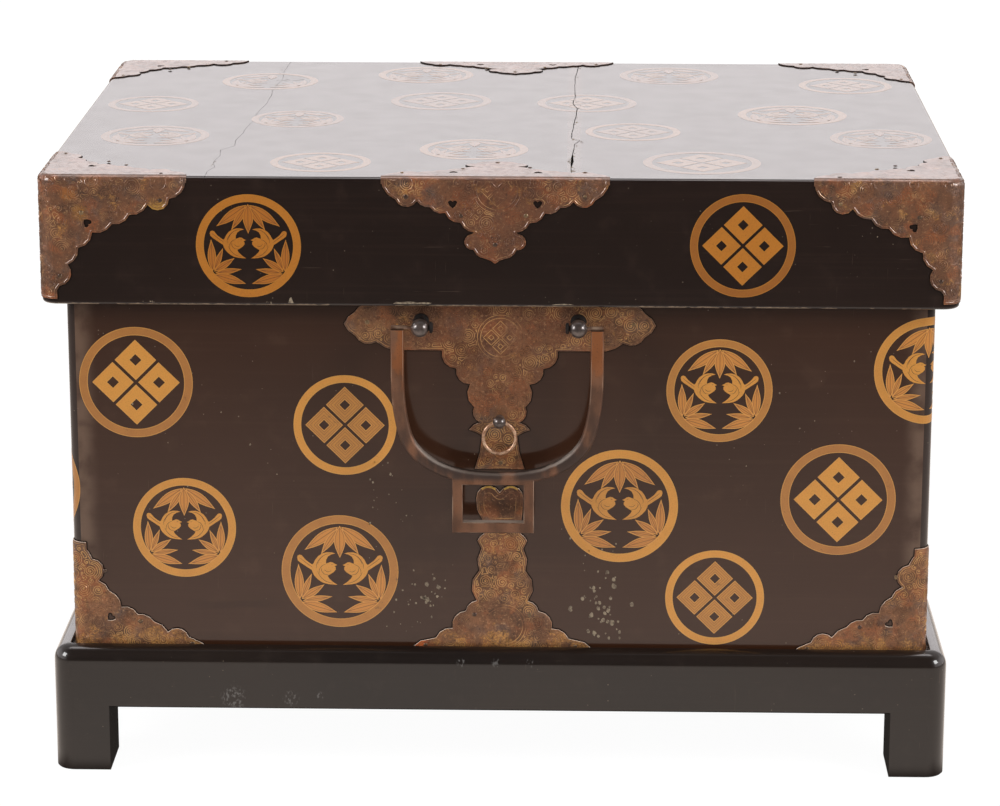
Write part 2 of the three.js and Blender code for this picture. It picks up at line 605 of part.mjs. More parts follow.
// The bail: a forged bar bent to a U, with a pin bent inwards at the top of each arm.
function bailBar(y) {
  const half = [[BAIL_HALF, BAIL_HEIGHT + PIN_RADIUS], ...bailShares.map(
    ([across, down]) => [across * BAIL_HALF, BAIL_HEIGHT - down * BAIL_DROP])];
  const line = [
    ...half.map(([x, z]) => new THREE.Vector3(-x, y, z)),
    ...half.slice(0, -1).reverse().map(([x, z]) => new THREE.Vector3(x, y, z)),
  ];
  const section = Array.from({ length: BAR_SIDES }, (_, i) => {
    const angle = 2 * Math.PI * i / BAR_SIDES;
    return new THREE.Vector2(BAIL_THICK / 2 * Math.cos(angle), BAIL_WIDE / 2 * Math.sin(angle));
  });
  const bar = solid(new THREE.ExtrudeGeometry(new THREE.Shape(section), {
    steps: BAIL_STEPS, bevelEnabled: false,
    extrudePath: new THREE.CatmullRomCurve3(line, false, 'centripetal'),
  }));
  const inner = EYE_HALF - BALL_RADIUS - PIN_RUN;
  return joined([
    bar,
    crossPin(-BAIL_HALF, -inner, y, BAIL_HEIGHT, PIN_RADIUS),
    crossPin(inner, BAIL_HALF, y, BAIL_HEIGHT, PIN_RADIUS),
  ]);
}

// The pole loop: a rectangular frame whose upper bar is the bail's lower bar.
function poleLoop(y) {
  const loopTop = BAIL_HEIGHT - BAIL_DROP;
  const windowTop = loopTop - BAIL_WIDE / 2;
  const windowFoot = windowTop - LOOP_WINDOW;
  const [left, right] = [LOOP_SHIFT - LOOP_WIDTH / 2, LOOP_SHIFT + LOOP_WIDTH / 2];
  const corners = (x0, x1, z0, z1) => [[x0, z0], [x1, z0], [x1, z1], [x0, z1]]
    .map(([x, z]) => new THREE.Vector2(x, z));
  const frame = new THREE.Shape(corners(left, right, windowFoot - LOOP_FOOT, loopTop));
  frame.holes = [new THREE.Path(corners(left + LOOP_SIDE, right - LOOP_SIDE, windowFoot, windowTop))];
  const geometry = new THREE.ExtrudeGeometry(frame, {
    depth: LOOP_THICK - 2 * LOOP_CHAMFER, bevelEnabled: true, bevelThickness: LOOP_CHAMFER,
    bevelSize: LOOP_CHAMFER, bevelOffset: -LOOP_CHAMFER, bevelSegments: 1,
  });
  geometry.translate(0, 0, -y - LOOP_THICK / 2 + LOOP_CHAMFER);
  geometry.applyMatrix4(FRONT);
  return solid(geometry);
}

function makeBails() {
  const y = BOX_FACE - BAIL_STANDOFF;
  addAtEnds('', 'bail', 'iron', geometryOf(joined([bailBar(y), poleLoop(y)])));
}

function makeRings() {
  const ring = new THREE.TorusGeometry(RING_RADIUS, WIRE_RADIUS, WIRE_SIDES, RING_STEPS);
  ring.rotateX(Math.PI / 2);
  ring.translate(0, BOX_FACE - RING_STANDOFF, RING_HEIGHT - RING_RADIUS);
  addAtEnds('', 'ring', 'brass', geometryOf(solid(ring)));
}

makeStand();
makeBox();
makeLid();
makeLidCornerPlates();
makeLidMiddlePlates();
makeBoxCornerPlates();
makeFacePlates();
makeStuds();
makeBails();
makeRings();

export default chest;
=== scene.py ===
"""Looks for a lacquered travelling box on a stand: lacquer, gold roundels, engraved copper plates and forged
ironwork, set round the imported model. Sizes in this file are millimetres unless a name or a comment says
otherwise, and finished meshes are in metres."""

import math
import random

import bmesh
import bpy
import numpy as np
from mathutils import Matrix, Vector


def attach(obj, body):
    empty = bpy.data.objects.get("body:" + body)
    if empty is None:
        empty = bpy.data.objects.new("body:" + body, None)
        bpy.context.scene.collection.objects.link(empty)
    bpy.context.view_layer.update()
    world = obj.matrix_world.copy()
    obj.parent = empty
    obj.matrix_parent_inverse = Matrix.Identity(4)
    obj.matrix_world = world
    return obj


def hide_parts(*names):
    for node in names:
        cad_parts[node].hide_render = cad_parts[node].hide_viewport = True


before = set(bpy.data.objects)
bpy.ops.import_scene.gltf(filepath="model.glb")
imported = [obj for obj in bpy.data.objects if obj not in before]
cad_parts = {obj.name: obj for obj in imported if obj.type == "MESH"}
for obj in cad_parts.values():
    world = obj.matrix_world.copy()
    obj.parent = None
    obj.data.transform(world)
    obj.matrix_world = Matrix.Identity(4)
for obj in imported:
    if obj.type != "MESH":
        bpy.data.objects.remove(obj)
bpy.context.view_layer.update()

MM = 0.001
ENDS = ("front", "back")
SIDES = ("left", "right")
# Steps to the four sides of a point.
FOUR_WAYS = ((0, 1), (1, 0), (0, -1), (-1, 0))

# The sizes of the wooden forms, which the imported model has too.
STAND_LEG_HEIGHT = 48
STAND_TOP = 92.5
STAND_LEDGE = 86.5
STAND_RAIL = 40
STAND_LEG_DEPTH = 48
BOX_BOTTOM = 86.8
BOX_RIM = 423.8
BOX_WALL = 12
BOX_FLOOR = 12
LID_BOTTOM = 345.1
LID_UNDER = 424.1
LID_TOP = 436.1
LID_WALL = 12
LID_EDGE = 4

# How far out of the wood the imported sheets' inner and outer sides lie.
PLATE_GAP = 0.3
PLATE_OUT = 1.5
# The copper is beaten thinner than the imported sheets, so that the nail heads stay inside their room.
SHEET_OUT = 0.9
NAIL_RADIUS = 1.6
NAIL_HEIGHT = 0.58
# The height from which the lower plates are hearts, and how far these stand to the left.
HEART_FROM = 188
HEART_SHIFT = 1.8
# The bail: its pins' height and distance out of the box, half the way between its arms, and its drop to the foot.
BAIL_HEIGHT = 331.5
BAIL_OUT = 22
BAIL_HALF = 69.6
BAIL_DROP = 107.9
# The bail hangs a little to the left between its eyes.
BAIL_SHIFT = -1.3
# Half the width and half the thickness of the bail's iron.
IRON_HALF = 4.6
IRON_DEEP = 4.1
IRON_SIDES = 28
# The eyes that it hangs in: half their spacing, and their balls' radius.
EYE_HALF = 55.1
EYE_RADIUS = 6.4
# The pole loop under it: its middle across, its width, its window's height, and how thick its bars are.
LOOP_SHIFT = -4.0
LOOP_WIDTH = 57.3
LOOP_WINDOW = 27.2
LOOP_SIDE_BAR = 7.2
LOOP_FOOT_BAR = 7.7
# The cord ring: its stud's height and distance out of the box, its radius and its wire's, and the stud's.
RING_HEIGHT = 260.4
RING_OUT = 8.5
RING_RADIUS = 11.4
RING_WIRE = 1.16
KNOB_RADIUS = 4.7


# Colours and finishes. Colours are given as they are seen, from 0 to 255.

def seen(red, green, blue):
    """Turns a colour as it is seen into the linear one that a shader takes."""
    def linear(value):
        value /= 255
        return value / 12.92 if value <= 0.04045 else ((value + 0.055) / 1.055) ** 2.4
    return linear(red), linear(green), linear(blue), 1.0


def maths(operation, turned=False):
    """A method that works out something with a node's output and another value, in turned order if asked."""
    def method(self, *others):
        values = (*others, self) if turned else (self, *others)
        return self.tree.node("Math", dict(enumerate(values)), operation=operation)
    return method


class Wire:
    """The output of a node, on which sums can be written."""

    def __init__(self, tree, socket):
        self.tree, self.socket = tree, socket

    def __getitem__(self, name):
        return Wire(self.tree, self.socket.node.outputs[name])

    __add__ = __radd__ = maths("ADD")
    __mul__ = __rmul__ = maths("MULTIPLY")
    __sub__, __rsub__ = maths("SUBTRACT"), maths("SUBTRACT", True)
    __abs__ = maths("ABSOLUTE")
    least, most, sine = maths("MINIMUM"), maths("MAXIMUM"), maths("SINE")


class Tree:
    """A node tree, to which nodes are added one by one."""

    def __init__(self, tree):
        self.tree = tree
        tree.nodes.clear()

    def node(self, kind, feeds=None, out=0, **settings):
        """Adds a node, whose kind may be named without ShaderNode, and returns one of its outputs."""
        node = self.tree.nodes.new(kind if "Node" in kind else "ShaderNode" + kind)
        for name, value in settings.items():
            setattr(node, name, value)
        for key, value in (feeds or {}).items():
            if isinstance(value, Wire):
                self.tree.links.new(value.socket, node.inputs[key])
            else:
                node.inputs[key].default_value = value
        return Wire(self, node.outputs[out]) if node.outputs else None

    def split(self, vector):
        return [self.node("SeparateXYZ", {0: vector}, i) for i in range(3)]

    def rise(self, value, low, high):
        """0 below low, 1 above high, and smooth between them. low may be the larger one."""
        feeds = {"Value": value, "From Min": low, "From Max": high}
        return self.node("MapRange", feeds, interpolation_type="SMOOTHSTEP")

    def slope(self, value, low, high, at_low, at_high):
        """at_low up to low, at_high from high on, and even between them."""
        return self.node("MapRange", {"Value": value, "From Min": low, "From Max": high,
                                      "To Min": at_low, "To Max": at_high})

    def mix(self, share, one, other):
        """Two colours mixed, each the output of a node or a plain colour."""
        one, other = (seen(*c) if isinstance(c, tuple) else c for c in (one, other))
        return self.node("Mix", {0: share, 6: one, 7: other}, 2, data_type="RGBA")

    def choice(self, share, one, other):
        """Two shaders mixed."""
        return self.node("MixShader", {0: share, 1: one, 2: other})

    def shades(self, tone, green, blue):
        """A colour of one tone, with the shares of it that green and blue have."""
        return self.node("CombineColor", {0: tone, 1: tone * green, 2: tone * blue})


class Finish(Tree):
    """One material, built node by node. Its place is the object's own, in millimetres, and its colour is what
    the tints so far make."""

    def __init__(self, name):
        self.material = bpy.data.materials.new(name)
        self.material.use_nodes = True
        super().__init__(self.material.node_tree)
        metres = self.node("TexCoord", out="Object")
        self.place = self.node("VectorMath", {0: metres, "Scale": 1 / MM}, operation="SCALE")
        self.colour = None

    def tint(self, share, tone):
        self.colour = self.mix(share, self.colour, tone)

    def stretched(self, size, shift, stretch):
        scale = tuple(1 / (size * s) for s in stretch)
        scaled = self.node("VectorMath", {0: self.place, 1: scale}, operation="MULTIPLY")
        return self.node("VectorMath", {0: scaled, 1: (shift, shift, shift)}, operation="ADD")

    def noise(self, size, detail=3, shift=0, stretch=(1, 1, 1), rough=0.5):
        """Cloudy noise from 0 to 1, whose clouds are about the size given."""
        return self.node("TexNoise", {"Vector": self.stretched(size, shift, stretch), "Scale": 1.0,
                                      "Detail": detail, "Roughness": rough})

    def dots(self, size, shift=0):
        """The distance to the nearest of scattered points, in shares of their spacing."""
        return self.node("TexVoronoi", {"Vector": self.stretched(size, shift, (1, 1, 1)), "Scale": 1.0}, "Distance")

    def away(self, place):
        return self.node("VectorMath", {0: self.place, 1: place}, "Value", operation="DISTANCE")

    def facing(self):
        """Which way the surface faces, along each axis."""
        return self.split(self.node("TexCoord", out="Normal"))

    def bump(self, height, depth, under=None):
        """A normal for a height from 0 to 1 that stands for a depth."""
        feeds = {"Strength": 1.0, "Distance": depth * MM, "Height": height}
        return self.node("Bump", {**feeds, "Normal": under} if under else feeds)

    def done(self, **feeds):
        odd = {"coat": "Coat Weight", "coat_ior": "Coat IOR", "specular": "Specular IOR Level"}
        feeds = {odd.get(k, k.replace("_", " ").title()): v for k, v in feeds.items()}
        shader = self.node("BsdfPrincipled", {"Base Color": self.colour, **feeds})
        self.node("OutputMaterial", {"Surface": shader})
        return self.material


def lacquer(name, base, deep, worn, roughness, edge_lines=(), fade=None, streak=0.16, rubbed_at=None,
            corner_at=None, scuffs=(), smudge=None):
    """Old lacquer over wood: clouded, faintly streaked along the grain, speckled and scratched, and worn
    through to a pale ground along the edges given, each as (height, reach, share of its length). fade gives
    the two heights between which it darkens to the deep tone, a painted shade that on the box deepens towards
    the lid, rubbed_at the place across of a rubbed strip on the top, and corner_at where the upright corners
    are, which get a painted highlight. Scuffs are places with their reach, and a smudge on the front is its
    middle across, its height, and its reach across."""
    f = Finish(name)
    across, onward, height = f.split(f.place)
    clouds = f.rise(f.noise(150, 4), 0.3, 0.72)
    # Painted shade: darker towards the second height given in fade.
    if fade:
        clouds = clouds * 0.5 + f.slope(height, *fade, 0.5, -0.05)
    f.colour = f.mix(clouds.least(1.0).most(0.0), deep, base)
    f.tint(f.rise(f.noise(2.6, 3, 5, (50, 1, 1)), 0.48, 0.75) * streak, worn)
    haze = f.noise(20, 5, 11)
    f.tint(f.rise(haze, 0.55, 0.82) * 0.3, worn)
    # Fine scratches, of which only the crests of a stretched noise show.
    upright = f.rise(f.noise(0.9, 2, 3, (1, 1, 34)), 0.72, 0.77)
    level = f.rise(f.noise(0.9, 2, 8, (40, 1, 1.3)), 0.73, 0.78)
    scratch = upright.most(level) * f.rise(f.noise(45, 2, 21), 0.5, 0.64)
    f.tint(scratch * 0.25, (112, 92, 78))
    # Dust and pin-sized flakes.
    dust = f.rise(f.dots(6.5), 0.075, 0.045) * f.rise(f.noise(30, 2, 31), 0.48, 0.62)
    f.tint(dust * 0.6, (142, 126, 108))
    # A painted highlight along the rounded upright corners.
    if corner_at:
        x, y = corner_at
        corner = f.rise(abs(across), x - 22, x - 9) * f.rise(abs(onward), y - 22, y - 9)
        f.tint(corner * f.rise(haze, 0.2, 0.6) * 0.6, (118, 94, 78))
    if smudge:
        middle, level, reach = smudge
        uneven = f.noise(9, 4, 61, (5, 1, 1)) * 8 - 4
        near = f.rise(abs(across - middle), reach, reach * 0.3) * f.rise(abs(height - level + uneven), 5, 1)
        f.tint(near * f.rise(onward, -215, -225) * 0.6, deep)
    if rubbed_at is not None:
        uneven = abs(across - rubbed_at) + f.noise(6, 3, 51, (1, 6, 1)) * 4
        f.tint(f.rise(uneven, 8, 6) * f.rise(height, 435, 436) * 0.2, (150, 112, 92))
    if edge_lines:
        rough_edge, patches = f.noise(5, 5, 41), f.noise(38, 3, 47)
        for level, reach, share in edge_lines:
            near = f.rise(abs(height - level) + rough_edge * 2.4, reach + 1.35, reach + 0.8)
            chipped = near * f.rise(patches, 0.68 - share * 0.4, 0.7 - share * 0.4)
            f.tint(chipped * 0.85, (146, 122, 98))
    for place, reach in scuffs:
        marks = f.rise(f.away(place), reach, reach * 0.4) * f.rise(f.noise(1.5, 4, 33, (1, 1, 1.6)), 0.5, 0.62)
        f.tint(marks * 0.25, (168, 164, 160))
    normal = f.bump(f.noise(34, 2, 2), 0.05, f.bump(f.noise(1.6, 3, 9), 0.003))
    rough = f.rise(haze, 0.3, 0.8) * 0.1 + scratch * 0.15 + roughness
    return f.done(roughness=rough, normal=normal, specular=0.12, coat=1.0, coat_roughness=0.1, coat_ior=1.5)


def copper(name, low, high, rosy_tone, gilt_share, gloss, spots=()):
    """Aged copper: brown with darker, rosier and greyer clouds, a punched ground, dirt, and gilding that is left
    in places, most of it low down. Spots are places of another tone, as (place, reach, share, tone); some are
    painted sheen, painted shade and painted shadows."""
    f = Finish(name)
    height = f.split(f.place)[2]
    # The leaves that lie on the lid's top are rubbed smooth.
    on_the_top = f.rise(f.facing()[2], 0.5, 0.9)
    kept = 1 - on_the_top * 0.95
    clouds = f.noise(22, 4)
    f.colour = f.mix(f.rise(clouds, 0.34, 0.64), low, high)
    f.tint(f.rise(f.noise(19, 4, 37), 0.5, 0.66) * 0.6, (106, 88, 80))
    f.tint(f.rise(f.noise(13, 4, 7), 0.5, 0.64) * 0.75, rosy_tone)
    left = f.noise(12, 5, 13, rough=0.62) + f.rise(height, 110, 94) * 0.15
    gilt = f.rise(left, 0.7 - gilt_share * 0.3, 0.8 - gilt_share * 0.3)
    f.tint(gilt * (f.rise(f.noise(1.1, 3, 17), 0.35, 0.62) * 0.6 + 0.2), (208, 150, 80))
    dirt = f.rise(f.noise(7, 5, 19), 0.48, 0.68)
    f.tint(dirt * 0.5, (66, 47, 38))
    punched = f.rise(f.dots(0.9, 3), 0.1, 0.45)
    f.tint((1 - punched) * 0.4, (76, 54, 42))
    # A little verdigris.
    f.tint(f.rise(f.noise(5, 4, 23), 0.72, 0.79) * 0.45, (112, 108, 80))
    for place, reach, share, tone in spots:
        f.tint(f.rise(f.away(place) + f.noise(4, 3) * 8, reach * 1.3 + 4, reach * 0.9) * share, tone)
    f.tint(on_the_top * 0.5, (122, 90, 72))
    # Pin-sized light and dark specks.
    grain = f.noise(1.9, 4, 43, rough=0.7)
    f.tint(f.rise(grain, 0.55, 0.68) * kept * 0.5, (204, 160, 118))
    f.tint(f.rise(grain, 0.45, 0.33) * kept * 0.6, (52, 37, 31))
    normal = f.bump(punched * kept, 0.06, f.bump(f.noise(9, 3, 29) * kept, 0.25))
    rough = f.rise(clouds, 0.3, 0.7) * -0.08 + dirt * 0.15 + 0.43
    return f.done(metallic=0.4, roughness=rough, normal=normal, coat=gloss, coat_roughness=0.16,
                  coat_ior=1.45 + 0.1 * gloss)


def rubbed_copper(name, bright, dark, roughness, metallic=0.5, gloss=0.3, patch=(7, 0.38, 0.64), highlight_upward=None,
                  bright_at=()):
    """Copper where hands and cloths rub it: edges, engraved lines and nail heads. It is bright in patches, whose
    size is given and the noise between which they begin and end. highlight_upward is the tone of a painted
    highlight on what faces up, and bright_at are heights with their reach near which more of it is bright."""
    f = Finish(name)
    size, low, high = patch
    worn = f.noise(size, 5, 3)
    height = f.split(f.place)[2]
    for level, reach in bright_at:
        worn = worn + f.rise(abs(height - level), reach * 1.6, reach * 0.6) * 0.13
    f.colour = f.mix(f.rise(worn, low, high), dark, bright)
    tarnish = f.rise(f.noise(2.1, 3, 9), 0.55, 0.75)
    f.tint(tarnish * 0.4, (92, 66, 50))
    # A painted highlight on what faces up.
    if highlight_upward:
        f.tint(f.rise(f.facing()[2], 0.15, 0.6) * 0.9, highlight_upward)
    return f.done(metallic=metallic, roughness=tarnish * 0.2 + roughness, normal=f.bump(f.noise(0.8, 2), 0.02),
                  coat=gloss, coat_roughness=0.18, coat_ior=1.45)


def forged_iron():
    """The bail's iron: brown skin with orange rust on the arms, darker towards the foot, with painted shade on the
    faces turned to the box, and rubbed to grey steel on its upper slopes, which also carry a painted highlight."""
    f = Finish("forged_iron")
    across, onward, height = f.split(f.place)
    _, outward, facing = f.facing()
    skin = f.noise(14, 5, 0, (1, 1, 2))
    f.colour = f.mix(f.rise(skin, 0.34, 0.64), (92, 66, 52), (128, 90, 68))
    arms = f.slope(height, 268, 312, 0.0, 1.0)
    rust = f.rise(f.noise(9, 5, 5, (1, 1, 2.4)) + arms * 0.16, 0.54, 0.7)
    f.tint(rust * (arms * 0.55 + 0.15), (150, 88, 46))
    pits = f.rise(f.dots(1.7, 2), 0.12, 0.3)
    f.tint((1 - pits) * 0.35, (64, 48, 42))
    foot = f.slope(height, 290, 240, 0.0, 0.9) * f.rise(height, 221, 225)
    f.tint(foot * f.rise(skin, 0.7, 0.45), (66, 54, 49))
    # Rubbed grey steel on the upper slopes, which is also a painted highlight, stronger away from the middle.
    uneven = facing + f.noise(5, 3, 8) * 0.3 - 0.15
    rubbed = f.rise(uneven, 0.3, 0.62) * f.rise(uneven, 0.95, 0.78)
    f.tint(rubbed * (f.rise(abs(across), 18, 46) * 0.45 + 0.2), (158, 146, 136))
    # Level tops have a painted dark reflection on the bail, and are rubbed pale with a painted highlight on the
    # loop's lower bar.
    above = f.rise(height, 200, 212)
    f.tint(f.rise(uneven, 0.82, 0.96) * above * 0.75, (50, 42, 38))
    f.tint(f.rise(facing, 0.7, 0.95) * (1 - above) * 0.8, (178, 164, 152))
    # Painted shade on the faces turned to the box.
    f.tint(f.rise(outward * onward, -60, -160) * 0.7, (36, 28, 25))
    normal = f.bump(pits, 0.04, f.bump(f.noise(5, 4, 12), 0.1))
    return f.done(metallic=0.35, roughness=rubbed * 0.1 + 0.46, normal=normal, specular=0.3)


def clouded(name, cloud, bounds, low, high):
    """A finish of two tones in clouds, which are a noise and the bounds between which the tones change."""
    f = Finish(name)
    clouds = f.noise(*cloud)
    f.colour = f.mix(f.rise(clouds, *bounds), low, high)
    return f, clouds


def polished_iron(name, low, high, gloss, dull):
    f, _ = clouded(name, (4, 4), (0.4, 0.65), low, high)
    rust = f.rise(f.noise(2.4, 4, 4), 0.6, 0.72)
    f.tint(rust * 0.4, (110, 76, 56))
    return f.done(metallic=0.4, roughness=rust * 0.2 + dull, normal=f.bump(f.noise(2.5, 3), 0.02), coat=gloss,
                  coat_roughness=0.12)


def gold_lacquer(name, metallic, brightness, coat_ior=1.5):
    """Gold powder in lacquer. The piece's pattern holds, at each place, the distance to the nearest edge, the
    distance along the part, and how bright its filling is. Below nothing it is a dark line. Its vein is the
    distance to a leaf's midrib."""
    f = Finish(name)
    edge, _, tone = f.split(f.node("Attribute", None, "Vector", attribute_name="pattern"))
    vein = f.node("Attribute", None, "Fac", attribute_name="vein")

    def shade(*rgb):
        return tuple(c * share for c, share in zip(rgb, brightness))
    bronze, bright, dark = shade(168, 112, 58), shade(214, 150, 68), shade(84, 54, 34)
    grain = f.noise(0.9, 3)
    clouds = f.noise(11, 4, 5)
    f.colour = f.mix((tone + (clouds - 0.5) * 0.5).least(1.0).most(0.0), bronze, bright)
    # Parts of middling brightness are hatched.
    hatch = (edge * (2 * math.pi / 1.35)).sine()
    f.tint(f.rise(hatch, 0.1, -0.8) * f.rise(abs(tone - 0.5), 0.2, 0.1) * 0.5, shade(120, 78, 48))
    f.tint(f.rise(grain, 0.45, 0.7) * 0.16, shade(120, 80, 46))
    # Leaves, with a line within their edge.
    leaf = f.rise(vein, 8, 6)
    f.tint(leaf * 0.55, shade(200, 130, 66))
    f.tint(f.rise(abs(edge - 1.0), 0.34, 0.14) * leaf * 0.5, shade(126, 76, 44))
    # Bright outlines and dark midribs.
    f.tint(f.rise(edge, 0.55, 0.38) * f.rise(tone, 1.4, 1.2) * 0.7, shade(216, 160, 88))
    f.tint(f.rise(vein, 0.34, 0.2) * 0.7, dark)
    worn = f.rise(f.noise(5.5, 5, 17, rough=0.65), 0.655, 0.71) * f.rise(tone, 0.95, 0.25)
    f.tint(worn * 0.55, shade(78, 58, 46))
    specks = f.rise(f.dots(2.2, 6), 0.13, 0.09) * f.rise(f.noise(9, 3, 8), 0.5, 0.62)
    f.tint(specks * 0.6, shade(96, 70, 48))
    f.tint(f.rise(tone, -0.3, -0.6), dark)
    return f.done(metallic=metallic, roughness=f.rise(grain, 0.3, 0.7) * 0.12 + 0.36, normal=f.bump(grain, 0.01),
                  coat=1.0, coat_roughness=0.1, coat_ior=coat_ior)


def rubbed_iron():
    """The iron's corners, worn bright."""
    f, _ = clouded("rubbed_iron", (9, 4, 3, (1, 1, 2)), (0.36, 0.62), (104, 74, 58), (164, 138, 118))
    return f.done(metallic=0.5, roughness=0.34, normal=f.bump(f.noise(0.9, 2), 0.02))


def brass_wire():
    f, skin = clouded("brass_wire", (3, 3), (0.4, 0.66), (164, 122, 94), (228, 190, 160))
    rough = f.rise(skin, 0.7, 0.4) * 0.12 + 0.22
    return f.done(metallic=0.5, roughness=rough, normal=f.bump(f.noise(0.9, 2), 0.02))


def plain_wood(name, light, dark):
    f, rings = clouded(name, (4, 4, 3, (14, 1, 1)), (0.35, 0.66), light, dark)
    f.tint(f.rise(f.noise(0.7, 2, 6, (22, 1, 1)), 0.55, 0.75) * 0.4, (70, 48, 32))
    return f.done(roughness=0.7, normal=f.bump(rings, 0.08))


def caked(name, cloud, low, high, **feeds):
    """Dull matter, a little uneven."""
    f, clouds = clouded(name, cloud, (0.35, 0.65), low, high)
    return f.done(roughness=0.8, normal=f.bump(clouds, 0.05), **feeds)


def both_ways(*spots):
    """Spots at the front, and the same turned half round for the back."""
    return [((turn * x, turn * y, z), *rest) for (x, y, z), *rest in spots for turn in (1, -1)]


# The box has painted shade that deepens towards the lid and a painted highlight on its upright corners.
BOX_LACQUER = lacquer("box_lacquer", (59, 34, 21), (48, 26, 14), (82, 57, 42), 0.4, fade=(130, 400), streak=0.1,
                      corner_at=(305, 227.5), smudge=(-188, 122, 44))
LID_LACQUER = lacquer("lid_lacquer", (35, 22, 17), (28, 17, 13), (62, 44, 36), 0.34,
                      edge_lines=((LID_BOTTOM, 1.1, 0.62),), streak=0.12, rubbed_at=51)
STAND_LACQUER = lacquer("stand_lacquer", (34, 25, 20), (26, 19, 16), (56, 46, 40), 0.34,
                        edge_lines=((STAND_LEG_HEIGHT, 0.3, 0.12),), streak=0.06, scuffs=(
                            ((-190, -242, 56), 11), ((-149, -242, 56), 7), ((-128, -242, 58), 4),
                            ((-27, -242, 84), 4), ((-2, -242, 84), 4), ((22, -242, 84), 4)))
INNER_LACQUER = lacquer("inner_lacquer", (48, 34, 29), (34, 24, 20), (64, 48, 40), 0.45)
COPPER = copper("aged_copper", (102, 70, 50), (146, 101, 71), (158, 96, 60), 0.36, 0.15, (
    # A painted sheen, bright orange, on the front lower plate's left tip.
    ((-59, -228, 92), 8, 0.95, (208, 98, 44)),
    # Painted shade on the domed hearts behind the pole loops; the next spot is a rosier tone on the upper plates.
    *both_ways(((3, -228, 207), 16, 0.7, (76, 52, 40)), ((0, -228, 330), 58, 0.35, (124, 70, 43)),
               # Painted shadows round the bail's studs, under the lid.
               ((-52, -228, 333), 12, 0.5, (66, 44, 34)), ((52, -228, 333), 12, 0.5, (66, 44, 34)))))
LID_COPPER = copper("polished_copper", (102, 68, 48), (148, 98, 68), (160, 92, 54), 0.36, 0.9, both_ways(
    ((0, -244, 408), 40, 0.4, (106, 58, 36)), ((-237, -244, 413), 8, 0.7, (196, 148, 60)),
    ((-291, -244, 411), 6, 0.7, (176, 122, 52)), ((-299, -244, 423), 6, 0.6, (176, 112, 52))))
# The box plates' edges: rubbed bright, with a painted highlight where they face up.
COPPER_EDGE_AND_HIGHLIGHT = rubbed_copper("rubbed_copper_edge", (184, 138, 106), (112, 78, 58), 0.5, 0.25, 0.1,
                            highlight_upward=(236, 214, 194))
LID_EDGE_COPPER = rubbed_copper("dull_copper_edge", (152, 112, 84), (96, 68, 52), 0.55, 0.2, 0.1)
DARK_EDGE = rubbed_copper("shaded_copper_edge", (92, 66, 54), (58, 43, 37), 0.5)
ENGRAVING = rubbed_copper("gilt_engraving", (204, 156, 98), (128, 89, 62), 0.4, 0.3, 0.3, (17, 0.46, 0.66),
                          bright_at=((150, 20), (236, 11)))
LID_ENGRAVING = rubbed_copper("polished_engraving", (204, 156, 104), (120, 82, 58), 0.4, 0.3, 0.9,
                              (15, 0.52, 0.7))
# Bright gilding, which on the hearts' rims is also a painted highlight.
GILT_AND_HIGHLIGHT = rubbed_copper("bright_gilding", (240, 196, 96), (190, 144, 70), 0.34, 0.3)
NAIL_COPPER = rubbed_copper("nail_copper", (132, 106, 74), (74, 54, 44), 0.32, 0.4)
IRON = forged_iron()
IRON_EDGE = rubbed_iron()
DARK_IRON = polished_iron("polished_iron", (70, 60, 56), (98, 84, 78), 0.8, 0.3)
# Near-black iron: painted shade on the studs' necks and collars and on the pins' riveted heads.
SHADE_IRON = polished_iron("blackened_iron", (24, 19, 18), (38, 31, 29), 0.0, 0.75)
# The bail's finishes, as its faces are numbered: the forged skin, corners worn bright, and near-black iron,
# painted shade, for the pins' riveted heads.
IRONS = (IRON, IRON_EDGE, SHADE_IRON)
BRASS = brass_wire()
GOLD = gold_lacquer("gold_lacquer", 0.2, (1.0, 0.975, 0.87))
LID_GOLD = gold_lacquer("deep_gold_lacquer", 0.2, (0.88, 0.78, 0.46))
# A dimmer, greyer gold for the lid's top: painted shade.
TOP_GOLD = gold_lacquer("polished_gold_lacquer", 0.4, (0.64, 0.61, 0.57), 1.58)
BARE_WOOD = plain_wood("bare_wood", (150, 112, 76), (118, 84, 54))
CRACK_WOOD = plain_wood("crack_wood", (64, 46, 34), (34, 25, 20))
# The pale ground that shows where lacquer has flaked off.
GROUND = caked("flaked_ground", (2.2, 4), (98, 84, 70), (150, 134, 112))
# Dirt round the plates, which is also their painted contact shadow.
GRIME_AND_SHADOW = caked("settled_dirt", (3, 3), (20, 14, 11), (38, 28, 23), specular=0.1)


# Meshes and pieces.

def into_scene(name, data):
    obj = bpy.data.objects.new(name, data)
    bpy.context.scene.collection.objects.link(obj)
    return obj


def object_of(name, mesh, *materials):
    for material in materials:
        mesh.materials.append(material)
    return into_scene(name, mesh)


def mesh_of(verts, faces, edges=()):
    """A mesh from points in millimetres."""
    mesh = bpy.data.meshes.new("part")
    mesh.from_pydata([tuple(c * MM for c in v) for v in verts], edges, faces)
    mesh.validate()
    return mesh


def solid(name, shape, materials, end="front"):
    """An object from corners and faces, which are made to face outwards. For the back it is turned half round."""
    verts, faces = shape
    if end == "back":
        verts = [(-x, -y, z) for x, y, z in verts]
    obj = object_of(name, mesh_of(verts, faces), *materials)
    bm = bmesh.new()
    bm.from_mesh(obj.data)
    bmesh.ops.recalc_face_normals(bm, faces=bm.faces)
    bm.to_mesh(obj.data)
    bm.free()
    return obj


def paint(obj, choose):
    """Gives each face the number of a material, which choose finds from the face's number and its middle."""
    for i, polygon in enumerate(obj.data.polygons):
        polygon.material_index = int(choose(i, polygon.center / MM))


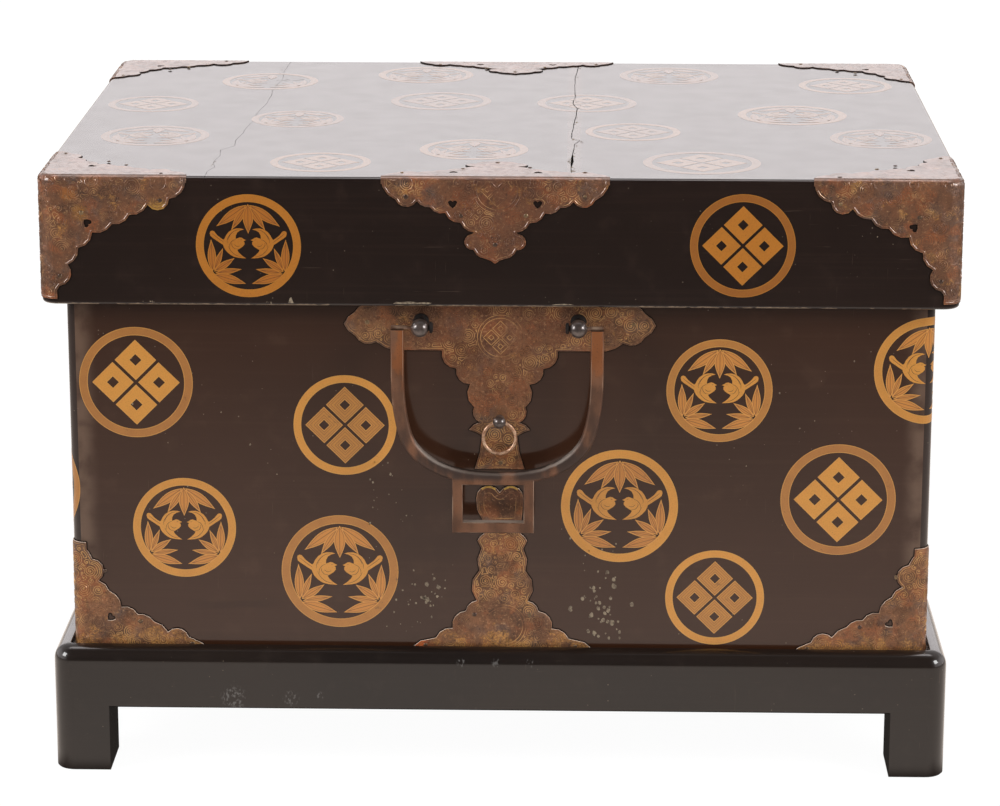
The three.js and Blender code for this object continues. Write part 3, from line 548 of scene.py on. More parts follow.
def applied(obj):
    """Applies an object's modifiers."""
    graph = bpy.context.evaluated_depsgraph_get()
    mesh = bpy.data.meshes.new_from_object(obj.evaluated_get(graph))
    obj.modifiers.clear()
    obj.data = mesh
    return mesh


def settle(obj, body, nodes=(), soften=35):
    """Applies a piece's modifiers, smooths it, and gives it to its body."""
    mesh = applied(obj)
    mesh.name = obj.name
    if soften:
        mesh.polygons.foreach_set("use_smooth", [True] * len(mesh.polygons))
        mesh.set_sharp_from_angle(angle=math.radians(soften))
        weigh = obj.modifiers.new("even_shading", "WEIGHTED_NORMAL")
        weigh.keep_sharp = True
        weigh.weight = 100
    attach(obj, body)
    if nodes:
        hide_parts(*nodes)


def bevelled(obj, width, angle=40):
    bevel = obj.modifiers.new("edges", "BEVEL")
    bevel.width = width * MM
    bevel.segments = 2
    bevel.limit_method = "ANGLE"
    bevel.angle_limit = math.radians(angle)
    bevel.use_clamp_overlap = True
    return obj


def combined(obj, other, operation):
    """Joins or cuts with another solid, which is then gone."""
    cut = obj.modifiers.new("combine", "BOOLEAN")
    cut.operation = operation
    cut.object = other
    cut.solver = "EXACT"
    applied(obj)
    bpy.data.objects.remove(other)


def turns(count):
    """The angles of so many even steps round a circle."""
    return [2 * math.pi * i / count for i in range(count)]


def brick(x0, x1, y0, y1, z0, z1):
    """The corners and faces of a rectangular solid."""
    verts = [(x, y, z) for z in (z0, z1) for x, y in ((x0, y0), (x1, y0), (x1, y1), (x0, y1))]
    faces = [(3, 2, 1, 0), (4, 5, 6, 7), (0, 1, 5, 4), (1, 2, 6, 5), (2, 3, 7, 6), (3, 0, 4, 7)]
    return verts, faces


def loft(rings, closed=False):
    """A skin over rings of equally many points, which run anticlockwise seen from the skin's far end."""
    count = len(rings[0])
    verts = [point for ring in rings for point in ring]
    faces = []
    for i in range(len(rings) if closed else len(rings) - 1):
        low, high = i * count, (i + 1) % len(rings) * count
        for j in range(count):
            k = (j + 1) % count
            faces.append((low + j, low + k, high + k, high + j))
    if not closed:
        faces.append(tuple(range(count))[::-1])
        faces.append(tuple(range(len(verts) - count, len(verts))))
    return verts, faces


def quarter(steps, radius, out, up, turn):
    """Points of a quarter round as (outset, height), from the turn given in quarter turns."""
    return [(out + radius * math.cos((turn + i / steps) * math.pi / 2),
             up + radius * math.sin((turn + i / steps) * math.pi / 2)) for i in range(steps + 1)]


class Form:
    """A rounded rectangle seen from above. Its side is walked from the middle of the front to the right."""

    def __init__(self, width, depth, corner):
        self.w, self.d, self.r = width / 2, depth / 2, corner
        self.arc = corner * math.pi / 2
        self.halves = [self.w - corner, self.d - corner] * 2
        self.reaches = [self.d, self.w] * 2
        self.round = 2 * sum(self.halves) + 4 * self.arc
        # Along the side, from the middle of the front: the middles of the first corner, the end and the back.
        self.corner_at = self.w - corner + self.arc / 2
        self.end_at = self.corner_at + self.arc / 2 + self.d - corner
        self.back_at = self.round / 2

    def ring(self, outset, height, steps=8):
        w, d = self.w + outset, self.d + outset
        r = max(self.r + outset, 0.4)
        points = []
        for side, (cx, cy) in enumerate([(w - r, r - d), (w - r, d - r), (r - w, d - r), (r - w, r - d)]):
            for i in range(steps + 1):
                angle = (side - 1 + i / steps) * math.pi / 2
                points.append((cx + r * math.cos(angle), cy + r * math.sin(angle), height))
        return points

    @staticmethod
    def facing(side):
        """The outward and onward directions of a side: 0 front, 1 right, 2 back, 3 left."""
        return [((0, -1), (1, 0)), ((1, 0), (0, 1)), ((0, 1), (-1, 0)), ((-1, 0), (0, -1))][side]

    def place(self, s, out):
        """The point at s along the side, that far out of it."""
        s = (s + self.w - self.r) % self.round
        for side in range(4):
            (nx, ny), (tx, ty) = self.facing(side)
            half, reach = self.halves[side], self.reaches[side]
            if s <= 2 * half:
                return nx * (reach + out) + tx * (s - half), ny * (reach + out) + ty * (s - half)
            s -= 2 * half
            if s <= self.arc or side == 3:
                angle = s / self.r
                away = self.r + out
                cx, cy = nx * (reach - self.r) + tx * half, ny * (reach - self.r) + ty * half
                return (cx + away * (nx * math.cos(angle) + tx * math.sin(angle)),
                        cy + away * (ny * math.cos(angle) + ty * math.sin(angle)))
            s -= self.arc

    def unroll(self, x, y):
        """Where a point lies along the side, and how far out of it."""
        start = self.r - self.w
        for side in range(4):
            (nx, ny), (tx, ty) = self.facing(side)
            half, reach = self.halves[side], self.reaches[side]
            along, away = x * tx + y * ty, x * nx + y * ny
            if abs(along) <= half + 1e-4 and away > reach - self.r / 2:
                return start + half + along, away - reach
            if along > half and away > reach - self.r:
                angle = math.atan2(along - half, away - reach + self.r)
                return start + 2 * half + self.r * angle, math.hypot(along - half, away - reach + self.r) - self.r
            start += 2 * half + self.arc
        return None

    def on(self, s, up, out):
        """The same point at a height."""
        return (*self.place(s, out), up)


BOX = Form(610, 455, 10)
LID = Form(640, 485, 12)
STAND = Form(640, 485, 14)
# Where the lid's side begins to bend over its upper edge, and half the bend's length.
LID_BEND = LID_TOP - LID_EDGE
HALF_BEND = LID_EDGE * math.pi / 4


def on_top(x, y, out):
    return x, y, LID_TOP + out


def on_lid_bend(s, up, out):
    """On the lid's side and, past it, on round its upper edge, as if the surface were rolled out."""
    if up <= LID_BEND:
        return LID.on(s, up, out)
    turn = (up - LID_BEND) / LID_EDGE
    away = LID_EDGE + out
    return LID.on(s, LID_BEND + away * math.sin(turn), away * math.cos(turn) - LID_EDGE)


def on_top_bend(x, y, out):
    """On the lid's top and, past it, on round its edge."""
    found = LID.unroll(x, y)
    if found is None or found[1] <= -LID_EDGE:
        return on_top(x, y, out)
    return on_lid_bend(found[0], LID_BEND + 2 * HALF_BEND - (found[1] + LID_EDGE), out)


# The wooden pieces.

def make_stand():
    edge, ease, lip, back = 11, 0.9, -12, -STAND_RAIL
    profile = [(-ease, STAND_LEG_HEIGHT), (0, STAND_LEG_HEIGHT + ease)]
    profile += quarter(9, edge, -edge, STAND_TOP - edge, 0)
    profile += [(lip + 0.4, STAND_TOP), (lip, STAND_TOP - 0.5), (lip, STAND_LEDGE), (back + 1, STAND_LEDGE),
                (back, STAND_LEDGE - 1), (back, STAND_LEG_HEIGHT + ease), (back + ease, STAND_LEG_HEIGHT)]
    rings = [STAND.ring(outset, height) for outset, height in profile]
    stand = object_of("stand_frame_and_legs", mesh_of(*loft(rings, True)), STAND_LACQUER)
    for x_sign in (-1, 1):
        for y_sign in (-1, 1):
            shape = loft([STAND.ring(-ease, 0), STAND.ring(0, ease), STAND.ring(0, STAND_LEG_HEIGHT + 3)])
            leg = object_of("leg", mesh_of(*shape), STAND_LACQUER)
            xs = sorted((x_sign * (STAND.w - STAND_RAIL), x_sign * (STAND.w + 9)))
            ys = sorted((y_sign * (STAND.d - STAND_LEG_DEPTH), y_sign * (STAND.d + 9)))
            combined(leg, object_of("around", mesh_of(*brick(*xs, *ys, -9, 99))), "INTERSECT")
            combined(stand, leg, "UNION")
    nodes = [f"stand_{side}_rail" for side in ENDS + SIDES]
    nodes += [f"stand_leg_{end}_{side}" for end in ENDS for side in SIDES]
    settle(bevelled(stand, ease), "stand", nodes)


def make_box():
    inner = -BOX_WALL
    profile = [(inner, BOX_BOTTOM), (-0.8, BOX_BOTTOM), (0, BOX_BOTTOM + 0.8), (0, BOX_RIM - 1.2),
               (-0.35, BOX_RIM - 0.35), (-1.2, BOX_RIM), (inner + 1.2, BOX_RIM), (inner + 0.35, BOX_RIM - 0.35),
               (inner, BOX_RIM - 1.2)]
    box = object_of("box_walls", mesh_of(*loft([BOX.ring(*p) for p in profile], True)), BOX_LACQUER, INNER_LACQUER)
    paint(box, lambda _, c: max(abs(c.x) - BOX.w, abs(c.y) - BOX.d) < -0.9 and c.z > BOX_BOTTOM + 1)
    settle(box, "box", [f"box_{side}_board" for side in ENDS + SIDES])

    # Three boards, butted, with eased edges.
    gap = 0.1
    seams = [-BOX.w + BOX_WALL + gap, -96, 88, BOX.w - BOX_WALL - gap]
    y = BOX.d - BOX_WALL - gap
    verts, faces = [], []
    for left, right in zip(seams, seams[1:]):
        more, sides = brick(left + gap, right - gap, -y, y, BOX_BOTTOM + 0.02, BOX_BOTTOM + BOX_FLOOR)
        faces += [tuple(i + len(verts) for i in side) for side in sides]
        verts += more
    floor = bevelled(object_of("box_bottom_planks", mesh_of(verts, faces), BARE_WOOD), 0.7)
    settle(floor, "box", ["box_bottom_board"])


# Cracks in the lid's top, each with its width and its corners from back to front.
CRACKS = (
    (0.24, ((-182, 246), (-183.6, 184.6), (-182, 157.6), (-185.6, 104.9), (-184.9, 82.5), (-185.2, 47.6),
            (-189.1, 4.6), (-188.4, -22.1), (-192.3, -65.9), (-191.6, -77.5), (-195, -105.5), (-193.4, -127.6),
            (-202.1, -144.2), (-200.5, -165.6), (-202.7, -189.3), (-200.4, -207.4), (-203.8, -223),
            (-203.7, -246))),
    (0.5, ((54, 246), (53.6, 219.9), (50.8, 161.5), (51.1, 76.9), (49.5, 51.8), (53, 30.3), (52, -2.7),
           (50.8, -26.4), (48.7, -91.5), (55.2, -100.7), (51.6, -114.8), (50.3, -144.5), (49.1, -214),
           (49.6, -246))),
)
# The crack that has opened, where along it the gap is widest, and how much half the gap gains there.
OPEN_CRACK = CRACKS[1][1]
GAPE_AT = -176
GAPE = 0.9


def crack_cutters():
    """Jagged wedges along the cracks."""
    rng = random.Random(11)
    for width, line in CRACKS:
        stations = []
        for (x0, y0), (x1, y1) in zip(line, line[1:]):
            steps = max(2, round(abs(y1 - y0) / 9))
            stations += [(x0 + (x1 - x0) * i / steps, y0 + (y1 - y0) * i / steps) for i in range(steps)]
        rings = []
        for x, y in stations + [line[-1]]:
            x += rng.uniform(-0.25, 0.25)
            half = width * rng.uniform(0.3, 0.7)
            if line is OPEN_CRACK:
                half += GAPE * max(0, 1 - abs(y - GAPE_AT) / 26)
            wedge = ((-1.2, 2), (-1, -0.3), (-0.3, -4), (0.3, -4), (1, -0.3), (1.2, 2))
            rings.append([(x + half * share, y, LID_TOP + up) for share, up in wedge])
        yield solid("crack", loft(rings), [CRACK_WOOD])


def make_lid():
    lip, inner = 2, -LID_WALL
    profile = [(inner, LID_UNDER), (inner, LID_BOTTOM + 1), (inner + 0.3, LID_BOTTOM + 0.3),
               (inner + 1, LID_BOTTOM)]
    profile += quarter(4, lip, -lip, LID_BOTTOM + lip, -1)
    profile += quarter(6, LID_EDGE, -LID_EDGE, LID_TOP - LID_EDGE, 0)
    shell = mesh_of(*loft([LID.ring(*p) for p in profile]))
    lid = object_of("lid_shell", shell, LID_LACQUER, INNER_LACQUER, CRACK_WOOD)
    paint(lid, lambda _, c: max(abs(c.x) - LID.w, abs(c.y) - LID.d) < inner + 0.5 and c.z < LID_UNDER + 1)
    for cutter in crack_cutters():
        combined(lid, cutter, "DIFFERENCE")
    nodes = [f"lid_{side}_board" for side in ENDS + SIDES]
    nodes += [f"lid_{place}_plank" for place in ("left", "middle", "right")]
    settle(lid, "lid", nodes)


def smooth_line(points, per):
    """A smooth line through points, with so many steps between each two."""
    points = [Vector(p) for p in points]
    line = []
    for i in range(len(points) - 1):
        a, b = points[max(i - 1, 0)], points[i]
        c, d = points[i + 1], points[min(i + 2, len(points) - 1)]
        for k in range(per):
            t = k / per
            line.append(0.5 * (2 * b + (c - a) * t + (2 * a - 5 * b + 4 * c - d) * t * t
                               + (3 * b - a - 3 * c + d) * t ** 3))
    return line + [points[-1]]


def square_to(line, i):
    """The direction square to a flat line at one of its points."""
    ahead = (line[min(i + 1, len(line) - 1)] - line[max(i - 1, 0)]).normalized()
    return Vector((-ahead.y, ahead.x))


# Flat patterns that are laid on a surface: roundels and flakes.

class Inlay:
    """Thin solids in the plane of a pattern (u, v), later laid on a surface."""

    def __init__(self):
        self.bm = bmesh.new()
        self.layers = [self.bm.verts.layers.float.new(n) for n in ("edge", "along", "tone", "vein")]

    def vert(self, u, v, h, values):
        vert = self.bm.verts.new((u, v, h))
        for layer, value in zip(self.layers, values):
            vert[layer] = value
        return vert

    def grid(self, rows, high, low, wrap):
        """A strip of rows of (u, v, values). It closes on itself if wrap is set."""
        tops = [[self.vert(u, v, high, values) for u, v, values in row] for row in rows]
        bases = [[self.vert(u, v, low, values) for u, v, values in row] for row in rows]
        count, across = len(rows), len(rows[0])
        for i in range(count if wrap else count - 1):
            k = (i + 1) % count
            for j in range(across - 1):
                self.bm.faces.new((tops[i][j], tops[i][j + 1], tops[k][j + 1], tops[k][j]))
                self.bm.faces.new((bases[i][j + 1], bases[i][j], bases[k][j], bases[k][j + 1]))
            self.bm.faces.new((bases[i][0], tops[i][0], tops[k][0], bases[k][0]))
            self.bm.faces.new((tops[i][-1], bases[i][-1], bases[k][-1], tops[k][-1]))
        if not wrap:
            for row, base, order in ((tops[0], bases[0], 1), (tops[-1], bases[-1], -1)):
                for j in range(across - 1):
                    quad = (row[j], base[j], base[j + 1], row[j + 1])
                    self.bm.faces.new(quad[::order])

    def slab(self, outline, high, low, values):
        """A flat piece inside an outline."""
        tops = [self.vert(u, v, high, values) for u, v in outline]
        bases = [self.vert(u, v, low, values) for u, v in outline]
        self.bm.faces.new(tops)
        self.bm.faces.new(bases[::-1])
        for i in range(len(tops)):
            k = (i + 1) % len(tops)
            self.bm.faces.new((tops[k], tops[i], bases[i], bases[k]))

    def laid(self, name, place, corners, *materials):
        """Cuts the pattern finely where the surface turns a corner, lays it, and returns the object."""
        bm = self.bm
        for corner, reach in corners:
            for i in range(13):
                at = corner + (i / 12 - 0.5) * reach
                near = [f for f in bm.faces if any(abs(v.co.x - corner) < reach for v in f.verts)]
                if not near:
                    break
                parts = list({v for f in near for v in f.verts}) + list({e for f in near for e in f.edges}) + near
                bmesh.ops.bisect_plane(bm, geom=parts, dist=1e-5, plane_co=(at, 0, 0), plane_no=(1, 0, 0))
        for vert in bm.verts:
            vert.co = Vector(place(*vert.co)) * MM
        bmesh.ops.recalc_face_normals(bm, faces=bm.faces)
        mesh = bpy.data.meshes.new(name)
        bm.verts.ensure_lookup_table()
        table = np.array([[v[layer] for layer in self.layers] for v in bm.verts], np.float32)
        for _ in self.layers:
            bm.verts.layers.float.remove(bm.verts.layers.float[0])
        bm.to_mesh(mesh)
        bm.free()
        pattern = mesh.attributes.new("pattern", "FLOAT_VECTOR", "POINT")
        pattern.data.foreach_set("vector", table[:, :3].ravel())
        mesh.attributes.new("vein", "FLOAT", "POINT").data.foreach_set("value", table[:, 3])
        return object_of(name, mesh, *materials)


# Gold and flakes stand this high on the lacquer and reach this far into it.
GOLD_HIGH = 0.06
GOLD_LOW = -0.12
# Leaves that cross lie at slightly different heights.
LEAF_STEP = 0.008
# The distance to a midrib where there is no leaf.
NO_VEIN = 9.0

# Half of the motif of two birds among bamboo, in shares of the roundel's radius. Each leaf is its root, its
# tip and its width.
LEAVES = (
    ((-0.03, 0.79), (-0.6, 0.38), 0.17), ((-0.03, 0.76), (-0.32, 0.31), 0.125),
    ((-0.69, -0.5), (-0.71, 0.125), 0.145), ((-0.66, -0.48), (-0.485, -0.045), 0.1),
    ((-0.66, -0.5), (-0.268, -0.24), 0.12), ((-0.64, -0.53), (-0.136, -0.455), 0.1),
    ((-0.66, -0.56), (-0.06, -0.735), 0.155),
)
MIDDLE_LEAF = ((0, 0.81), (0, 0.24), 0.18)
BIRD = (
    (-0.65, 0.281), (-0.687, 0.292), (-0.722, 0.278), (-0.732, 0.245), (-0.72, 0.19), (-0.673, 0.148),
    (-0.6, 0.1), (-0.545, 0.06), (-0.483, 0.02), (-0.469, -0.026), (-0.44, -0.082), (-0.389, -0.139),
    (-0.332, -0.185), (-0.276, -0.214), (-0.19, -0.233), (-0.048, -0.244), (-0.128, -0.187), (-0.19, -0.125),
    (-0.213, -0.08), (-0.168, -0.055), (-0.105, -0.012), (-0.071, 0.031), (-0.075, 0.075), (-0.095, 0.09),
    (-0.045, 0.112), (-0.09, 0.133), (-0.119, 0.156), (-0.162, 0.165), (-0.205, 0.148), (-0.24, 0.135),
    (-0.236, 0.2), (-0.205, 0.262), (-0.148, 0.3), (-0.077, 0.318), (-0.134, 0.336), (-0.219, 0.34),
    (-0.304, 0.317), (-0.375, 0.266), (-0.423, 0.204), (-0.452, 0.14), (-0.475, 0.118), (-0.517, 0.145),
    (-0.588, 0.202),
)
# Its engraved lines: the folded wing, both wings' shafts, the breast and the tail.
FEATHERS = (
    ((-0.24, 0.125), (-0.3, 0.1), (-0.35, 0.035), (-0.36, -0.05)),
    ((-0.15, 0.318), (-0.25, 0.295), (-0.335, 0.225), (-0.385, 0.12)),
    ((-0.13, -0.215), (-0.24, -0.18), (-0.33, -0.105), (-0.385, -0.01)),
    ((-0.2, -0.06), (-0.27, -0.05), (-0.315, 0.01), (-0.31, 0.06)),
    ((-0.16, 0.0), (-0.22, -0.01), (-0.27, 0.03)),
    ((-0.69, 0.24), (-0.58, 0.15), (-0.47, 0.07)),
    ((-0.3, 0.27), (-0.36, 0.2), (-0.4, 0.12), (-0.4, 0.05)),
)
BIRD_EYE = ((-0.15, 0.118), (-0.12, 0.118))


def add_ring(inlay, u, v, radius, tone):
    width = radius * 0.15
    rows = []
    for angle in turns(72):
        row = []
        for share in (0, 0.5, 1):
            r = radius - width * share
            edge = width * (0.5 - abs(share - 0.5))
            row.append((u + r * math.cos(angle), v + r * math.sin(angle), (edge, radius * angle, tone, NO_VEIN)))
        rows.append(row)
    inlay.grid(rows, GOLD_HIGH, GOLD_LOW, True)


def add_leaf(inlay, root, tip, width, tone, layer):
    length = (tip - root).length
    ahead = (tip - root) / length
    beside = Vector((-ahead.y, ahead.x))
    rows = []
    steps = 12
    for i in range(steps + 1):
        share = i / steps
        half = width * 0.55 * max(0.02, math.sin(math.pi * share ** 0.86) ** 1.05 if 0 < share < 1 else 0)
        row = []
        for side in (-1, 0, 1):
            point = root + ahead * (length * share) + beside * (half * side)
            vein = abs(side) * half + max(0.05, 0.9 - half)
            row.append((point.x, point.y, (half * (1 - abs(side)), length * share, tone, vein)))
        rows.append(row)
    inlay.grid(rows, GOLD_HIGH + layer * LEAF_STEP, GOLD_LOW, False)


def add_stroke(inlay, line, width):
    """A thin dark line on the gold, pointed at both ends."""
    rows = []
    for i, point in enumerate(line):
        beside = square_to(line, i)
        half = width / 2 * (0.35 + 0.65 * math.sin(math.pi * i / (len(line) - 1)))
        rows.append([(*(point + beside * half * side), (3.0, 0.0, -1.0, NO_VEIN)) for side in (-1, 1)])
    inlay.grid(rows, GOLD_HIGH + 0.04, GOLD_LOW, False)


def add_bamboo(inlay, u, v, radius, tone):
    def placed(points, side):
        return [Vector((u + side * a * radius, v + b * radius)) for a, b in points]

    def leaf(root, tip, width, layer, side=1):
        add_leaf(inlay, *placed((root, tip), side), width * radius, tone, layer)
    for side in (1, -1):
        for layer, shares in enumerate(LEAVES):
            leaf(*shares, layer - side / 4, side)
        inlay.slab(placed(BIRD, side), GOLD_HIGH, GOLD_LOW, (3.0, 0.0, min(1.0, tone + 0.25), NO_VEIN))
        for line in FEATHERS:
            add_stroke(inlay, smooth_line(placed(line, side), 4), 0.34)
        add_stroke(inlay, placed(BIRD_EYE, side), 0.7)
    leaf(*MIDDLE_LEAF, 8)


def add_squares(inlay, u, v, radius, tone):
    """Four squares on their points, each with a small square hole."""
    step, half, hole = 0.405 * radius, 0.365 * radius, 0.105 * radius
    for du, dv in FOUR_WAYS:
        rows = []
        for i, angle in enumerate(turns(4)):
            row = []
            for share in (0, 0.5, 1):
                r = hole + (half - hole) * share
                edge = (half - hole) * (0.5 - abs(share - 0.5)) * 0.7
                row.append((u + du * step + r * math.cos(angle), v + dv * step + r * math.sin(angle),
                            (edge, i * 2.0, tone, NO_VEIN)))
            rows.append(row)
        inlay.grid(rows, GOLD_HIGH, GOLD_LOW, True)


def add_roundel(inlay, u, v, diameter, kind, ring_tone, fill_tone):
    add_ring(inlay, u, v, diameter / 2, ring_tone)
    fill = add_bamboo if kind == "bamboo" else add_squares
    fill(inlay, u, v, diameter / 2, fill_tone)


# Roundels as (along, up, diameter, kind, brightness of the ring, brightness of the filling).
FRONT_ROUNDELS = (
    (-256.6, 285.4, 80.3, "squares", 0.1, 1.0), (-109.3, 255.2, 72.9, "squares", 1.0, 0.5),
    (-224.5, 178.7, 73.5, "bamboo", 0.85, 0.75), (-113.9, 147.0, 83.5, "bamboo", 0.2, 0.85),
    (85.1, 197.1, 83.0, "bamboo", 0.95, 0.55), (154.5, 282.2, 74.6, "bamboo", 0.3, 0.8),
    (153.6, 129.6, 70.5, "squares", 1.0, 0.5), (239.7, 203.1, 81.5, "squares", 0.1, 1.0),
    (300.9, 297.5, 76.8, "bamboo", 0.75, 0.8), (-336.4, 207.0, 76.0, "squares", 0.15, 1.0),
)
# On the unseen ends, in the same scatter, from the middle of the end.
END_ROUNDELS = (
    (-120.0, 292.0, 76.0, "squares", 0.2, 1.0), (-36.0, 214.0, 80.0, "bamboo", 0.9, 0.6),
    (52.0, 296.0, 74.0, "bamboo", 0.3, 0.8), (-128.0, 138.0, 82.0, "bamboo", 0.2, 0.85),
    (28.0, 134.0, 72.0, "squares", 1.0, 0.5), (94.0, 213.0, 76.0, "squares", 0.15, 1.0),
)
LID_ROUNDELS = ((-174.1, 387.6, 73.0, "bamboo", 0.95, 0.8), (168.3, 389.7, 73.0, "squares", 0.2, 1.0))
LID_END_ROUNDELS = ((0.0, 388.5, 73.0, "squares", 0.3, 0.9),)
TOP_ROUNDELS = (
    (-255.4, -90.0, 79, "bamboo"), (-127.4, -187.0, 71, "squares"), (-271.8, 40.8, 69, "squares"),
    (-191.0, 145.0, 76, "bamboo"), (-156.5, -19.3, 69, "bamboo"), (-68.7, 178.7, 76, "bamboo"),
    (-51.9, 60.0, 77, "squares"), (-20.8, -136.3, 78, "bamboo"), (60.3, 53.6, 76, "squares"),
    (94.1, -65.0, 70, "squares"), (126.1, 180.0, 79, "bamboo"), (215.1, 7.0, 82, "bamboo"),
    (274.5, -86.9, 74, "bamboo"), (264.0, 137.6, 73, "squares"), (141.2, -182.0, 83, "squares"),
)


def side_roundels(form, front, ends):
    """Roundels from the middle of the front, the same from the middle of the back, and those of both ends."""
    inlay = Inlay()
    for roundels, middles in ((front, (0, form.back_at)), (ends, (form.end_at, -form.end_at))):
        for s, *rest in roundels:
            for middle in middles:
                add_roundel(inlay, s + middle, *rest)
    return inlay


def make_roundels():
    corners = [(sign * BOX.corner_at + middle, BOX.arc) for sign in (-1, 1) for middle in (0, BOX.back_at)]
    box = side_roundels(BOX, FRONT_ROUNDELS, END_ROUNDELS).laid("box_gold_roundels", BOX.on, corners, GOLD)
    settle(box, "box", soften=0)
    lid = side_roundels(LID, LID_ROUNDELS, LID_END_ROUNDELS).laid("lid_side_gold_roundels", LID.on, [], LID_GOLD)
    settle(lid, "lid", soften=0)

    inlay = Inlay()
    for i, (x, y, diameter, kind) in enumerate(TOP_ROUNDELS):
        add_roundel(inlay, x, y, diameter, kind, 0.9 if i % 2 else 0.3, 0.8 if i % 3 else 0.5)
    top = inlay.laid("lid_top_gold_roundels", on_top, [], TOP_GOLD, CRACK_WOOD)
    for cutter in crack_cutters():
        combined(top, cutter, "DIFFERENCE")
    settle(top, "lid", soften=0)


# Flakes of lost lacquer, as (along, up, spread along, spread up, how many, largest radius).
BOX_FLAKES = (
    (-84, 198, 14, 26, 22, 1.0), (-47, 134, 13, 18, 20, 1.7), (-64, 121, 26, 24, 16, 1.0),
    (75, 119, 19, 38, 50, 2.0), (66, 150, 26, 36, 12, 0.8), (-290, 130, 14, 12, 8, 1.3),
    (-200, 240, 60, 60, 16, 0.7), (200, 250, 60, 60, 16, 0.7), (-20, 105, 20, 8, 6, 0.9),
    (1000, 200, 140, 70, 40, 1.2), (-560, 200, 120, 80, 30, 1.1), (540, 170, 120, 60, 30, 1.1),
)
LID_FLAKES = ((-160, 347.4, 3, 0.8, 5, 0.7), (-243, 347.6, 4, 1, 5, 0.7), (260, 385, 30, 22, 8, 0.5))
# Splinters lost from the lid's lower edge.
SPLINTERS = (
    ((-74, 347), (-48, 347), (-47.2, 347.9), (-52, 348.3), (-57, 347.9), (-62, 348.8), (-68, 348.2), (-72, 348.4)),
    ((-147.2, 347), (-143.2, 347), (-144, 349), (-144.9, 351.3), (-146, 350.3), (-146.5, 348.4)),
    ((36, 347), (52, 347), (49, 347.6), (44, 347.8), (39, 347.5)),
)


def flaked(name, body, place, rng, zones, low, high, splinters=(), more=()):
    """A piece of flakes, of which those between two heights or depths are kept, and of splinters."""
    inlay = Inlay()
    for along, up, wide, tall, count, largest in zones:
        for _ in range(count):
            u, v = along + rng.gauss(0, 0.5) * wide, up + rng.gauss(0, 0.5) * tall
            size = largest * (0.3 + 0.7 * rng.random() ** 2)
            outline = []
            for angle in turns(9):
                r = size * rng.uniform(0.65, 1.15)
                outline.append((u + r * math.cos(angle), v + r * math.sin(angle) * 1.25))
            if low < v < high:
                inlay.slab(outline, GOLD_HIGH, GOLD_LOW, (0, 0, 0, 0))
    for outline in splinters:
        for middle in (0, LID.back_at):
            inlay.slab([(u + middle, v) for u, v in outline], GOLD_HIGH, GOLD_LOW, (0, 0, 0, 0))
    settle(inlay.laid(name, place, [], GROUND, *more), body, soften=0)


def make_flakes():
    rng = random.Random(5)
    flaked("box_flakes", "box", BOX.on, rng, BOX_FLAKES, 98, 335)
    flaked("lid_side_flakes", "lid", LID.on, rng, LID_FLAKES, 347, 400, SPLINTERS)
    # Along the open crack the lacquer has chipped away, most of all near the front.
    zones = [(x + 1.2, y, 1.4, 26, 3, 1.0 + 0.8 * max(0, (40 - y) / 280)) for x, y in OPEN_CRACK]
    zones += [(48.2, -180, 1.0, 18, 9, 1.3), (-203, -190, 1.2, 30, 5, 0.7), (-186, 200, 1.2, 30, 4, 0.7)]
    flaked("lid_top_flakes", "lid", on_top, rng, zones, -236, 236, more=[CRACK_WOOD])


# Copper plates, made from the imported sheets, and what is worked on them.

def outer_loops(mesh, form, top):
    """The outlines of a sheet's outer side, unrolled: on top as (x, y), round the side as (along, up). Where
    the sheet bends over the lid's edge, its outline is moved past the bend."""
    bm = bmesh.new()
    bm.from_mesh(mesh)
    flat = {}
    first = None
    for vert in bm.verts:
        x, y, z = vert.co / MM
        found = form.unroll(x, y)
        if top:
            flat[vert] = (x, y) if z > LID_TOP + PLATE_OUT - 0.1 else None
            if flat[vert] and found and found[1] > -LID_EDGE - 0.5:
                flat[vert] = form.place(found[0], 12)
            continue
        if found is None or found[1] < PLATE_OUT - 0.15:
            flat[vert] = None
            continue
        s = found[0]
        first = s if first is None else first
        flat[vert] = (s + form.round * round((first - s) / form.round), z + 14 if z > LID_BEND - 0.5 else z)
    skin = set()
    for face in bm.faces:
        facing = face.normal.z > 0.99 if top else abs(face.normal.z) < 0.2
        if facing and all(flat[v] is not None for v in face.verts):
            skin.add(face)
    onward = {}
    for face in skin:
        for loop in face.loops:
            if not any(f in skin for f in loop.edge.link_faces if f is not face):
                onward[loop.vert] = loop.link_loop_next.vert
    loops = []
    while onward:
        start, vert = onward.popitem()
        loop = [flat[start]]
        while vert in onward:
            loop.append(flat[vert])
            vert = onward.pop(vert)
        if vert is start and len(loop) > 2:
            loops.append(np.array(loop))
    bm.free()
    return loops


def inside(points, loops):
    """Which points lie inside the outlines, and how far each lies from them."""
    x, y = points[:, 0], points[:, 1]
    within = np.zeros(len(points), bool)
    distance = np.full(len(points), 1e9)
    for loop in loops:
        for (ax, ay), (bx, by) in zip(loop, np.roll(loop, -1, 0)):
            dx, dy = bx - ax, by - ay
            if dy:
                within ^= ((ay > y) != (by > y)) & (x < dx * (y - ay) / dy + ax)
            t = np.clip(((x - ax) * dx + (y - ay) * dy) / max(dx * dx + dy * dy, 1e-9), 0, 1)
            distance = np.minimum(distance, np.hypot(x - ax - t * dx, y - ay - t * dy))
    return within, distance


